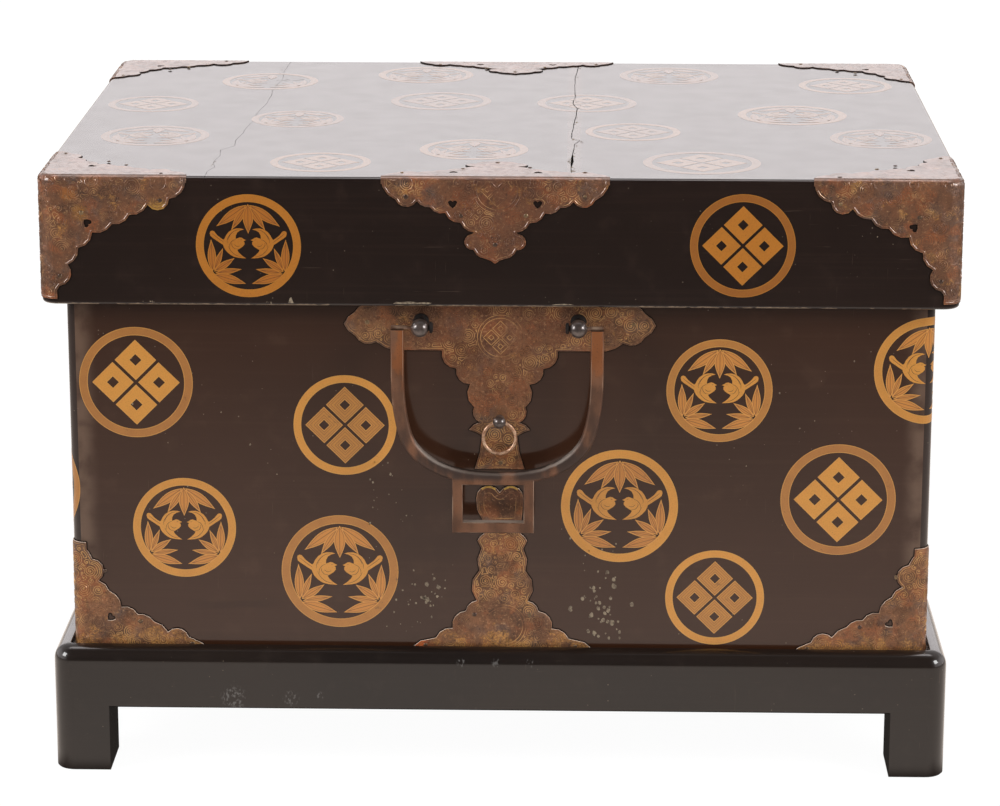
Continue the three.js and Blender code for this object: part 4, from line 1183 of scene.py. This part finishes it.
def level_lines(field, x0, y0, step, level):
    """Lines along which a gridded field has the level given."""
    f = field - level
    near = np.argwhere((f[:-1, :-1] > 0) + 0 + (f[1:, :-1] > 0) + (f[:-1, 1:] > 0) + (f[1:, 1:] > 0) > 0)
    links = {}

    def point(key):
        i, j, axis = key
        a, b = f[i, j], f[i + (axis == 0), j + (axis == 1)]
        t = a / (a - b)
        return x0 + (i + (t if axis == 0 else 0)) * step, y0 + (j + (t if axis == 1 else 0)) * step

    for i, j in near:
        i, j = int(i), int(j)
        crossed = []
        for key in ((i, j, 0), (i + 1, j, 1), (i, j + 1, 0), (i, j, 1)):
            a, b = f[key[0], key[1]], f[key[0] + (key[2] == 0), key[1] + (key[2] == 1)]
            if (a > 0) != (b > 0):
                crossed.append(key)
        for one, other in zip(crossed[::2], crossed[1::2]):
            links.setdefault(one, []).append(other)
            links.setdefault(other, []).append(one)
    lines = []
    used = set()
    for start in links:
        if start in used:
            continue
        line, key = [start], start
        used.add(start)
        while True:
            ahead = [k for k in links[key] if k not in used]
            if not ahead:
                break
            key = ahead[0]
            used.add(key)
            line.append(key)
        closed = start in links[key] and len(line) > 3
        points = [point(k) for k in line]
        lines.append(np.array(points + points[:1] if closed else points))
    return [line for line in lines if len(line) > 6]


# How far apart engraved scroll lines run.
SCROLL_GAP = 1.5


def arc_points(centre, radius, start, turn, spacing=0.9):
    steps = max(5, int(abs(turn) * radius / spacing))
    angles = start + turn * np.arange(steps + 1) / steps
    return np.stack([centre[0] + radius * np.cos(angles), centre[1] + radius * np.sin(angles)], 1)


def curl(centre, radius, start, hand):
    """One scroll, that winds in evenly to an eye."""
    windings = max(0.8, (radius - 0.6) / SCROLL_GAP)
    steps = max(12, int(math.pi * radius * windings / 0.75))
    t = (np.arange(steps + 1) / steps) ** 0.7
    r = radius - min(SCROLL_GAP * windings, radius - 0.5) * t
    angle = start + hand * 2 * math.pi * windings * t
    eye = arc_points(centre, 0.35, 0, 2 * math.pi, 0.5)
    return [np.stack([centre[0] + r * np.cos(angle), centre[1] + r * np.sin(angle)], 1), eye]


def roundel_lines(u, v, radius, filled=True):
    """The engraved roundel: two circles round four squares on their points, unless these are worn away."""
    lines = [arc_points((u, v), r, 0, 2 * math.pi) for r in (radius, radius * 0.86)]
    if not filled:
        return lines
    step = 0.4 * radius
    for du, dv in FOUR_WAYS:
        for half in (0.34 * radius, 0.12 * radius):
            corners = [np.array((u + du * step + half * a, v + dv * step + half * b)) for a, b in
                       ((1, 0), (0, 1), (-1, 0), (0, -1), (1, 0))]
            line = [p + (q - p) * k / 6 for p, q in zip(corners, corners[1:]) for k in range(6)]
            lines.append(np.array(line + [corners[-1]]))
    return lines


def stretches(line, keep):
    """The stretches of a line of which every point is kept."""
    parts, start = [], 0
    for i in range(len(line) + 1):
        if i == len(line) or not keep[i]:
            if i - start > 2:
                parts.append(line[start:i])
            start = i + 1
    return parts


def engraving(loops, rng, roundel=None, plain_from=None):
    """Lines that fill an outline, each with its radius: one that follows it, a roundel if there is one, and
    scrolls, but none above plain_from. Also the lines that run just outside it."""
    step = 0.75
    low = np.min([loop.min(0) for loop in loops], 0) - 2 * step
    high = np.max([loop.max(0) for loop in loops], 0) + 2 * step
    nx, ny = (int(n) for n in np.ceil((high - low) / step) + 1)
    gx, gy = np.meshgrid(low[0] + np.arange(nx) * step, low[1] + np.arange(ny) * step, indexing="ij")
    within, distance = inside(np.stack([gx.ravel(), gy.ravel()], 1), loops)
    field = np.where(within, distance, -distance).reshape(nx, ny)

    def level(values, at):
        return level_lines(values, low[0], low[1], step, at)
    rim = level(field, -0.45)
    lines = [(line, 0.22) for line in level(field, 1.5)]
    room = field - 2.1
    if plain_from:
        lines += [(line, 0.22) for line in level(np.where(gy > plain_from, field, -1), 5)]
        room = np.where(gy > plain_from - 7, -1, room)
    if roundel:
        u, v, radius = roundel[:3]
        for line in roundel_lines(*roundel):
            keep, deep = inside(line, loops)
            lines += [(part, 0.26) for part in stretches(line, keep & (deep > 1.3))]
        room = np.minimum(room, np.hypot(gx - u, gy - v) - radius - 0.4)
    while True:
        best = int(np.argmax(room))
        radius = room.flat[best]
        if radius < 1.9:
            break
        radius = min(radius, rng.uniform(3.0, 6.4))
        centre = (gx.flat[best], gy.flat[best])
        lines += [(line, 0.25) for line in curl(centre, radius, rng.uniform(0, 2 * math.pi), rng.choice((-1, 1)))]
        room = np.minimum(room, np.hypot(gx - centre[0], gy - centre[1]) - radius - 0.1)
    # Between the scrolls run lines that follow their backs.
    for depth in (0.6, 1.6):
        lines += [(line, 0.25) for line in level(room, depth)]
    return lines, rim


def node_group(name, **kinds):
    """An empty geometry tree with the inputs given, and what each input's socket is called by a modifier."""
    group = bpy.data.node_groups.new(name, "GeometryNodeTree")
    socket = group.interface.new_socket
    keys = {title: socket(name=title, in_out="INPUT", socket_type="NodeSocket" + kind).identifier
            for title, kind in kinds.items()}
    socket(name="Piece", in_out="OUTPUT", socket_type="NodeSocketGeometry")
    return Tree(group), keys


def finish_group(t, shape, given):
    """Makes real meshes of a tree's result, and paints them."""
    real = t.node("GeometryNodeRealizeInstances", {"Geometry": shape})
    painted = t.node("GeometryNodeSetMaterial", {"Geometry": real, "Material": given["Finish"]})
    t.node("NodeGroupOutput", {0: painted})


def wire_tree():
    """Turns a mesh of lines into round wire, each point as thick as its own radius says."""
    t, keys = node_group("engraved_lines", Lines="Geometry", Sides="Int", Finish="Material")
    given = t.node("NodeGroupInput")
    curve = t.node("GeometryNodeMeshToCurve", {"Mesh": given["Lines"]})
    thickness = t.node("GeometryNodeInputNamedAttribute", {"Name": "thickness"}, data_type="FLOAT")
    profile = t.node("GeometryNodeCurvePrimitiveCircle", {"Radius": 1.0, "Resolution": given["Sides"]})
    swept = t.node("GeometryNodeCurveToMesh", {"Curve": curve, "Profile Curve": profile, "Scale": thickness,
                                               "Fill Caps": True})
    finish_group(t, swept, given)
    return t.tree, keys


def nail_tree():
    """Sets a round-headed nail on each point, its head along the point's own direction."""
    t, keys = node_group("nail_heads", Places="Geometry", Radius="Float", Height="Float", Finish="Material")
    given = t.node("NodeGroupInput")
    points = t.node("GeometryNodeMeshToPoints", {"Mesh": given["Places"]})
    head = t.node("GeometryNodeMeshUVSphere", {"Segments": 14, "Rings": 8, "Radius": 1.0})
    size = t.node("CombineXYZ", {0: given["Radius"], 1: given["Radius"], 2: given["Height"]})
    shaped = t.node("GeometryNodeTransform", {"Geometry": head, "Scale": size})
    outward = t.node("GeometryNodeInputNamedAttribute", {"Name": "outward"}, data_type="FLOAT_VECTOR")
    turned = t.node("FunctionNodeAlignRotationToVector", {"Vector": outward}, axis="Z")
    uneven = t.node("FunctionNodeRandomValue", {"Min": (0.82, 0.86, 0.75), "Max": (1.12, 1.08, 1.0), "Seed": 4},
                    data_type="FLOAT_VECTOR")
    placed = t.node("GeometryNodeInstanceOnPoints", {
        "Points": points, "Instance": shaped, "Rotation": turned, "Scale": uneven})
    finish_group(t, placed, given)
    return t.tree, keys


WIRE_TREE = wire_tree()
NAIL_TREE = nail_tree()


def grown(name, mesh, tree, body, **given):
    """A copper piece that a tree makes of a mesh."""
    obj = object_of(name, mesh)
    grow = obj.modifiers.new("grow", "NODES")
    grow.node_group, keys = tree
    for title, value in given.items():
        grow[keys[title]] = value
    settle(obj, body, soften=60)


def wires(name, lines, finish, body, sides=3):
    """A piece of round wires along lines of (points in millimetres, radius)."""
    verts, edges, radii = [], [], []
    for points, radius in lines:
        edges += [(len(verts) + i, len(verts) + i + 1) for i in range(len(points) - 1)]
        verts += points
        radii += [radius * MM] * len(points)
    mesh = mesh_of(verts, (), edges)
    mesh.attributes.new("thickness", "FLOAT", "POINT").data.foreach_set("value", radii)
    grown(name, mesh, WIRE_TREE, body, Sides=sides, Finish=finish)


def nails(name, places, body):
    """A piece of nail heads at places of (point in millimetres, outward direction)."""
    mesh = mesh_of([point for point, _ in places], ())
    mesh.attributes.new("outward", "FLOAT_VECTOR", "POINT").data.foreach_set(
        "vector", [c for _, way in places for c in way])
    grown(name, mesh, NAIL_TREE, body, Radius=NAIL_RADIUS * MM, Height=NAIL_HEIGHT * MM, Finish=NAIL_COPPER)


def sheet_copy(node, form):
    """A packed sheet's mesh with its doubles merged, and the same beaten thinner with its flat parts whole."""
    bm = bmesh.new()
    bm.from_mesh(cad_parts[node].data)
    bmesh.ops.remove_doubles(bm, verts=bm.verts, dist=2e-6)
    for vert in bm.verts:
        x, y, z = vert.co / MM
        if "lower_plate" in node and z > HEART_FROM - 1:
            along, out = form.unroll(x, y)
            x, y = form.place(along - HEART_SHIFT * min(1, (z - HEART_FROM + 1) / 4), out)
            vert.co = Vector((x, y, z)) * MM
    mesh = bpy.data.meshes.new(node)
    bm.to_mesh(mesh)
    bmesh.ops.dissolve_limit(bm, angle_limit=math.radians(1), verts=bm.verts, edges=bm.edges)

    def thinner(out):
        return PLATE_GAP + (out - PLATE_GAP) * (SHEET_OUT - PLATE_GAP) / (PLATE_OUT - PLATE_GAP)
    for vert in bm.verts:
        x, y, z = vert.co / MM
        found = form.unroll(x, y)
        past, over = (found[1] + LID_EDGE if found else -1), z - LID_BEND
        if form is BOX or over <= 0:
            x, y = form.place(found[0], thinner(found[1]))
        elif past <= 0:
            z = LID_TOP + thinner(z - LID_TOP)
        else:
            away = math.hypot(past, over)
            scale = (LID_EDGE + thinner(away - LID_EDGE)) / away
            x, y = form.place(found[0], past * scale - LID_EDGE)
            z = LID_BEND + over * scale
        vert.co = Vector((x, y, z)) * MM
    whole = bpy.data.meshes.new(node + "_whole")
    bm.to_mesh(whole)
    bm.free()
    return mesh, whole


# Half the width of the dark line round a plate: settled dirt and a painted contact shadow.
GRIME_SHADOW_RADIUS = 0.34


def short_of_bend(line):
    """The stretches of a line on the side that lie short of the middle of the lid's bend."""
    return stretches(line, line[:, 1] <= LID_BEND + HALF_BEND)


def top_short_of_bend(line):
    """The same on the top."""
    past = np.array([(LID.unroll(x, y) or (0, -99))[1] for x, y in line])
    return stretches(line, past <= HALF_BEND - LID_EDGE)


def make_plate(node, form, rng, roundel=None, top_roundel=None, plain_from=None):
    """One copper plate: the sheet with eased edges, and the engraving on each of its leaves."""
    mesh, whole = sheet_copy(node, form)
    # Each leaf: whether it is on the top, its roundel, where it is plain from, how lines are laid on it and
    # which stretches of them, how far the engraving stands out, and what share of its size it has there.
    if form is BOX:
        body, ease, finishes = "box", 0.38, (COPPER, COPPER_EDGE_AND_HIGHLIGHT, ENGRAVING)
        leaves = [(False, roundel, plain_from, BOX.on, short_of_bend, 0.02, 1)]
    else:
        body, ease, finishes = "lid", 0.2, (LID_COPPER, LID_EDGE_COPPER, LID_ENGRAVING)
        leaves = [(False, roundel, None, on_lid_bend, short_of_bend, 0.02, 1),
                  (True, top_roundel, None, on_top_bend, top_short_of_bend, -0.05, 0.3)]
    sheet = bevelled(object_of(node + "_sheet", whole, *finishes[:2], DARK_EDGE), ease, 50)
    sheet.modifiers["edges"].material = 1
    settle(sheet, body, [node])
    if form is LID:
        # The edges of the leaf on the top lie in shade.
        for polygon in sheet.data.polygons:
            x, y, z = polygon.center / MM
            found = LID.unroll(x, y)
            if z > LID_TOP and abs(polygon.normal.z) < 0.95 and (found is None or found[1] < -LID_EDGE):
                polygon.material_index = 2
    lines, dirt = [], []
    for top, mark, plain, place, kept, rise, share in leaves:
        engraved, rim = engraving(outer_loops(mesh, form, top), rng, mark, plain)
        for line, size in engraved:
            lines += [([place(u, v, SHEET_OUT + rise) for u, v in part], size * share) for part in kept(line)]
        # The dark line round the plate: dirt and a painted contact shadow.
        for line in rim:
            dirt += [([place(u, v, 0.1) for u, v in part], GRIME_SHADOW_RADIUS) for part in kept(line)]
    wires(node + "_dirt_and_shadow_line", dirt, GRIME_AND_SHADOW, body)
    wires(node + "_engraving", lines, finishes[2], body)
    return mesh


def heart_rim(mesh, end):
    """The gilt rim of the heart that the lower plate ends in, behind the pole loop. Its bright gilding is
    also a painted highlight on the domed heart's upper lobes.
    """
    lines = []
    for loop in outer_loops(mesh, BOX, False):
        line = np.concatenate([loop, loop[:1]])
        for part in stretches(line, line[:, 1] > HEART_FROM + 19):
            middle = part[:, 0].mean()
            part = part + np.stack([0.6 * np.sign(middle - part[:, 0]), np.full(len(part), -0.6)], 1)
            lines.append(([BOX.on(s, z, SHEET_OUT + 0.1) for s, z in part], 0.75))
    wires(f"{end}_lower_plate_heart_rim", lines, GILT_AND_HIGHLIGHT, "box", 8)


def make_plates():
    rng = random.Random(3)
    for end, sign, box_at, lid_at in (("front", 1, 0, 0), ("back", -1, BOX.back_at, LID.back_at)):
        make_plate(f"{end}_upper_plate", BOX, rng, (box_at + 0.5, 319.9, 16.2))
        lower = make_plate(f"{end}_lower_plate", BOX, rng, (box_at + 3.1, 107.4, 15.8, False),
                           plain_from=HEART_FROM)
        heart_rim(lower, end)
        make_plate(f"{end}_lid_plate", LID, rng, (lid_at - 1.7, 428.7, 16.6), (sign * -1.7, sign * -248.3, 16.6))
        for side in SIDES:
            make_plate(f"lid_corner_plate_{end}_{side}", LID, rng)
            make_plate(f"box_corner_plate_{end}_{side}", BOX, rng)


def nail_places(form, flat, corner, share, lift, top_flat=(), top_corner=()):
    """Nails in the plates of the front, and the same in those of the back. A flat plate's are counted from its
    middle. A corner plate's are counted from its corner, and lie before it and behind it, there at the share
    given of the distance and lifted."""
    places = []

    def add(s, z):
        (x0, y0), (x1, y1) = form.place(s, 0), form.place(s, 1)
        places.append((form.on(s, z, SHEET_OUT), (x1 - x0, y1 - y0, 0)))

    def add_top(x, y):
        places.append((on_top(x, y, SHEET_OUT), (0, 0, 1)))
    for middle, sign in ((0, 1), (form.back_at, -1)):
        for s, z in flat:
            add(s + middle, z)
        for x, y in top_flat:
            add_top(sign * x, -sign * y)
        for hand in (-1, 1):
            at = hand * form.corner_at + middle
            for reach, z in corner:
                add(at - hand * reach, z)
                add(at + hand * reach * share, z + lift)
            for x, y in top_corner:
                add_top(hand * x, -sign * y)
    return places


def make_nails():
    flat = ((-93, 330.3), (93.8, 330), (0.7, 228.7), (-17.9, 115.7), (21.7, 115.6), (-52.9, 92.4), (54.5, 92.2))
    corner = ((45.4, 108.5), (82.4, 91.9), (20.5, 146.1))
    nails("box_plate_nails", nail_places(BOX, flat, corner, 0.97, 0.6), "box")

    flat = ((-64.7, 423.1), (-26.7, 410), (18.3, 410.3), (-3, 389.7), (59, 423.5))
    corner = ((82.6, 419.6), (27.8, 410.6), (11.6, 365.6))
    top_flat = ((-2.6, 189.7), (-68, 227.7), (58.9, 223.9), (-26.2, 212.2), (20.5, 207.2))
    top_corner = ((310.5, 164.7), (276.1, 193.2), (262.3, 205.9), (234.6, 235.1))
    nails("lid_plate_nails", nail_places(LID, flat, corner, 0.86, 0, top_flat, top_corner), "lid")


# The ironwork.

# Half of the bail's middle line, from its eye down to its foot, in shares of its half width and its drop.
BAIL_LINE = (
    (1, 0.008), (1, 0.1), (1, 0.22), (1, 0.34), (0.992, 0.46), (0.969, 0.58), (0.936, 0.68), (0.886, 0.765),
    (0.806, 0.835), (0.704, 0.892), (0.584, 0.935), (0.44, 0.97), (0.24, 0.993), (0, 1),
)
BAIL_Y = -BOX.d - BAIL_OUT


def bail_bar():
    """The bail's bar, whose squared arms grow round towards the foot."""
    half = [(a * BAIL_HALF, BAIL_HEIGHT - b * BAIL_DROP) for a, b in BAIL_LINE]
    line = [(BAIL_SHIFT - x, z) for x, z in half] + [(BAIL_SHIFT + x, z) for x, z in half[-2::-1]]
    line = smooth_line(line, 6)
    rings = []
    for i, point in enumerate(line):
        beside = square_to(line, i)
        down = (BAIL_HEIGHT - point.y) / BAIL_DROP
        power = 2 / (5.5 - 3.2 * min(1, max(0, (down - 0.35) / 0.5)))
        ring = []
        for angle in turns(IRON_SIDES):
            c, s = math.cos(angle), math.sin(angle)
            across = IRON_HALF * math.copysign(abs(c) ** power, c)
            depth = IRON_DEEP * math.copysign(abs(s) ** power, s)
            ring.append((point.x + beside.x * across, BAIL_Y + depth, point.y + beside.y * across))
        rings.append(ring)
    return loft(rings)


def pole_loop():
    """A flat frame whose upper bar is the bail's own."""
    left, right = LOOP_SHIFT - LOOP_WIDTH / 2, LOOP_SHIFT + LOOP_WIDTH / 2
    top = BAIL_HEIGHT - BAIL_DROP
    foot = top - IRON_HALF - LOOP_WINDOW - LOOP_FOOT_BAR
    inner = LOOP_SIDE_BAR
    section = ((0, -3), (0.5, -3.5), (inner - 0.5, -3.5), (inner, -3),
               (inner, 3), (inner - 0.5, 3.5), (0.5, 3.5), (0, 3))
    rings = []
    for inset, depth in section:
        xs = (left + inset, right - inset)
        low, high = foot + LOOP_FOOT_BAR / LOOP_SIDE_BAR * inset, top + 2.5 - inset * 0.97
        rings.append([(x, BAIL_Y + depth, z) for x, z in zip((*xs, *xs[::-1]), (low, low, high, high))])
    return loft(rings, True)


def pin(sign):
    """A pin that runs from past an arm over its top and through the eye, and ends in a riveted head. Its
    outline is given by shares of its length, from the outside in."""
    outer, inner = BAIL_HALF + 4.2 + sign * BAIL_SHIFT, EYE_HALF - 9.0
    run = outer - inner
    head, eye = (EYE_HALF - 6.6 - inner) / run, (BAIL_HALF - 5.2 + sign * BAIL_SHIFT - inner) / run
    shape = ((0, 0.9), (0.012, 1.4), (1 - eye - 0.02, 1.4), (1 - eye + 0.02, 1.3), (1 - head - 0.02, 1.3),
             (1 - head + 0.01, 3.8), (0.97, 4.0), (1, 3.0))
    rings = []
    for share, radius in shape:
        x = sign * outer + (sign * inner - sign * outer) * share
        rings.append([(x, BAIL_Y + radius * math.cos(a), BAIL_HEIGHT + 0.4 + radius * math.sin(a))
                      for a in turns(IRON_SIDES)])
    return loft(rings)


def make_bail(end):
    shape = bail_bar()
    bail = solid(f"{end}_bail_forged", shape, IRONS, end)
    # The arms' corners are rubbed bright, but not those of the foot.
    last = len(shape[0]) // IRON_SIDES - 28
    paint(bail, lambda i, _: i % IRON_SIDES % 7 == 3 and not 26 <= i // IRON_SIDES <= last)
    loop = solid("loop", pole_loop(), IRONS, end)
    paint(loop, lambda i, _: i // 4 in (0, 2))
    combined(bail, loop, "UNION")
    for sign in (-1, 1):
        rivet = solid("pin", pin(sign), IRONS, end)
        # Its riveted head is near-black, painted shade.
        paint(rivet, lambda i, _: 2 if i // IRON_SIDES >= 4 else 1)
        combined(bail, rivet, "UNION")
    settle(bail, f"{end}_bail", [f"{end}_bail"], 40)


def ball(radius, out, steps, flat=1.0):
    """A ball's outline from its neck to its front, flattened a little at the sides."""
    angles = [math.pi * (0.16 + 0.84 * i / steps) for i in range(steps + 1)]
    return [(max(radius * abs(math.sin(a)) ** flat, 0.05), out - radius * math.cos(a)) for a in angles]


def lathe(profile, x, z):
    """A turned piece on the face of the box, from (radius, distance out of the face)."""
    return loft([[(x + r * math.cos(a), -BOX.d - out, z + r * math.sin(a)) for a in turns(40)]
                 for r, out in profile])


def make_studs(end):
    seat = SHEET_OUT + 0.03
    profile = [(0.05, -13.9), (4.4, -13.9), (5.5, -12.6), (5.3, -12.3), (3.2, -12.2), (3.2, seat),
               (5.2, seat), (5.6, seat + 0.4), (5.5, seat + 1.0), (4.6, seat + 1.5), (3.4, seat + 1.9),
               (2.9, seat + 4.5), (2.8, BAIL_OUT - 7), *ball(EYE_RADIUS, BAIL_OUT, 18, 0.92)]
    for side, sign in zip(SIDES, (-1, 1)):
        shape = lathe(profile, sign * EYE_HALF, BAIL_HEIGHT)
        stud = solid(f"{end}_bail_stud_{side}_turned", shape, (DARK_IRON, SHADE_IRON), end)
        # Only the ball's front is polished; its neck and collar are near-black, painted shade.
        paint(stud, lambda _, c: abs(c.y) < BOX.d + BAIL_OUT - 5.6)
        settle(stud, "box", [f"{end}_bail_stud_{side}"], 40)
    profile = [(0.05, -13.2), (2.8, -13.2), (3.6, -12.5), (3.5, -12.3), (2.0, -12.2), (2.0, seat), (3.3, seat),
               (3.6, seat + 0.3), (3.5, seat + 0.8), (2.1, seat + 1.1), *ball(KNOB_RADIUS, RING_OUT, 14)]
    stud = solid(f"{end}_ring_stud_turned", lathe(profile, 0, RING_HEIGHT), [DARK_IRON], end)
    settle(stud, "box", [f"{end}_ring_stud"], 40)


def make_ring(end):
    y, middle = -BOX.d - RING_OUT, RING_HEIGHT - RING_RADIUS
    rings = []
    for a in turns(64):
        wire = RING_WIRE + 0.05 * math.sin(3 * a)
        ring = []
        for b in turns(14):
            r = RING_RADIUS + wire * math.cos(b)
            ring.append((r * math.sin(a), y + wire * 0.94 * math.sin(b), middle + r * math.cos(a)))
        rings.append(ring)
    ring = solid(f"{end}_ring_wire", loft(rings, True), [BRASS], end)
    settle(ring, f"{end}_ring", [f"{end}_ring"])


make_stand()
make_box()
make_lid()
make_roundels()
make_flakes()
make_plates()
make_nails()
for where in ENDS:
    make_bail(where)
    make_studs(where)
    make_ring(where)


# The studio: a white room, two soft boxes in front, and fill lamps all round.

def make_world():
    """White to the camera. Gloss sees a pale sweep low behind the object that dims as it rises, a light
    overhead, pale sides and a dark front, and other rays an even grey."""
    world = bpy.data.worlds.new("studio")
    world.use_nodes = True
    bpy.context.scene.world = world
    t = Tree(world.node_tree)
    path = t.node("LightPath")
    x, y, z = t.split(t.node("TexCoord", out="Generated"))
    low = t.rise(z, -0.03, 0.04) * t.rise(z, 0.5, 0.34)
    behind = t.rise(y, 0.72, 0.9) * low * t.slope(z, 0.16, 0.23, 1.0, 1.3)
    beside = t.rise(abs(x), 0.5, 0.92) * t.rise(z, 0.7, 0.3)
    risen = t.rise(z, 0.34, 0.5) * t.rise(y, -0.3, 0.2)
    overhead = t.rise(z, 0.9, 0.97) * t.rise(y, 0.0, 0.12)
    tone = behind * 1.16 + beside * 1.5 + risen * 0.55 + overhead * 4.0 + 0.08
    camera, gloss, rest = (t.node("Background", {"Color": colour, "Strength": 1.0}) for colour in
                           ((1, 1, 1, 1), t.shades(tone, 0.945, 0.95), (0.22, 0.22, 0.22, 1)))
    other = t.choice(path["Is Glossy Ray"], rest, gloss)
    t.node("OutputWorld", {"Surface": t.choice(path["Is Camera Ray"], other, camera)})


def make_floor():
    """A white floor that keeps a faint shadow. Gloss sees it with a painted shadow under the object and a
    painted pool of light that fades away from it in front, and pale far behind."""
    material = bpy.data.materials.new("studio_floor")
    material.use_nodes = True
    t = Tree(material.node_tree)
    path = t.node("LightPath")
    place = t.node("TexCoord", out="Object")
    away = t.node("VectorMath", {0: place}, "Value", operation="LENGTH")
    white = t.node("Emission", {"Color": (1, 1, 1, 1), "Strength": 1.06})
    shaded = t.node("BsdfDiffuse", {"Color": (0.9, 0.9, 0.9, 1)})
    shown = t.choice(t.slope(away, 0.6, 1.6, 0.91, 1.0), shaded, white)
    across, onward, _ = t.split(place)
    # A painted shadow under the object, and a painted pool of light round it, as gloss sees the floor.
    clear_of_painted_shadow = t.rise(abs(across), 0.31, 0.35).most(t.rise(abs(onward), 0.235, 0.27))
    tone = t.slope(away, 0.45, 1.8, 1.02, 0.12) * (clear_of_painted_shadow * 0.97 + 0.03) + t.rise(onward, 1.5, 2.5)
    glossy = t.node("Emission", {"Color": t.shades(tone, 0.88, 0.79), "Strength": 1.0})
    matt = t.node("BsdfDiffuse", {"Color": (0.6, 0.6, 0.6, 1)})
    other = t.choice(path["Is Glossy Ray"], matt, glossy)
    t.node("OutputMaterial", {"Surface": t.choice(path["Is Camera Ray"], other, shown)})
    far = 9000
    mesh = mesh_of([(-far, -far, 0), (far, -far, 0), (far, far, 0), (-far, far, 0)], [(0, 1, 2, 3)])
    object_of("studio_floor_plane", mesh, material)


# Lamps, in degrees round from the front and above the level, metres away, wide and high, and watts. Gloss sees
# the first two only.
SOFT_BOXES = (
    ("left_soft_box", -60, 24, 2.6, 0.9, 0.9, 35, True),
    ("right_soft_box", 58, 24, 2.6, 0.9, 0.9, 35, True),
    ("front_fill", 0, 18, 3.2, 1.6, 0.8, 14, False),
    ("left_back_fill", -140, 22, 3.0, 1.2, 0.8, 20, False),
    ("right_back_fill", 140, 22, 3.0, 1.2, 0.8, 20, False),
)


def make_lamps():
    for name, azimuth, elevation, distance, width, height, watts, mirrored in SOFT_BOXES:
        data = bpy.data.lights.new(name, "AREA")
        data.shape = "RECTANGLE"
        data.size, data.size_y = width, height
        data.energy = watts
        lamp = into_scene(name, data)
        lamp.visible_glossy = mirrored
        a, e = math.radians(azimuth), math.radians(elevation)
        away = Vector((math.sin(a) * math.cos(e), -math.cos(a) * math.cos(e), math.sin(e)))
        lamp.location = Vector((0, 0, 0.25)) + away * distance
        lamp.rotation_euler = away.to_track_quat("Z", "Y").to_euler()


def make_camera():
    """The photograph's own viewpoint: a long lens from a little left of the middle, looking down."""
    pitch, yaw, roll = math.radians(14.892), math.radians(-1.295), math.radians(0.082)
    ahead = Vector((math.sin(yaw) * math.cos(pitch), math.cos(yaw) * math.cos(pitch), -math.sin(pitch)))
    level = Vector((math.cos(yaw), -math.sin(yaw), 0))
    up = level.cross(ahead)
    right = level * math.cos(roll) + up * math.sin(roll)
    up = right.cross(ahead)
    data = bpy.data.cameras.new("camera")
    data.lens = 129.6
    data.sensor_width = 36
    data.clip_end = 50
    camera = bpy.data.objects.new("camera", data)
    camera.matrix_world = Matrix((*zip(right, up, -ahead, (0.0556, -2.6781, 0.92405)), (0, 0, 0, 1)))
    bpy.context.scene.collection.objects.link(camera)
    bpy.context.scene.camera = camera


make_world()
make_floor()
make_lamps()
make_camera()
bpy.context.scene.view_settings.view_transform = "Standard"
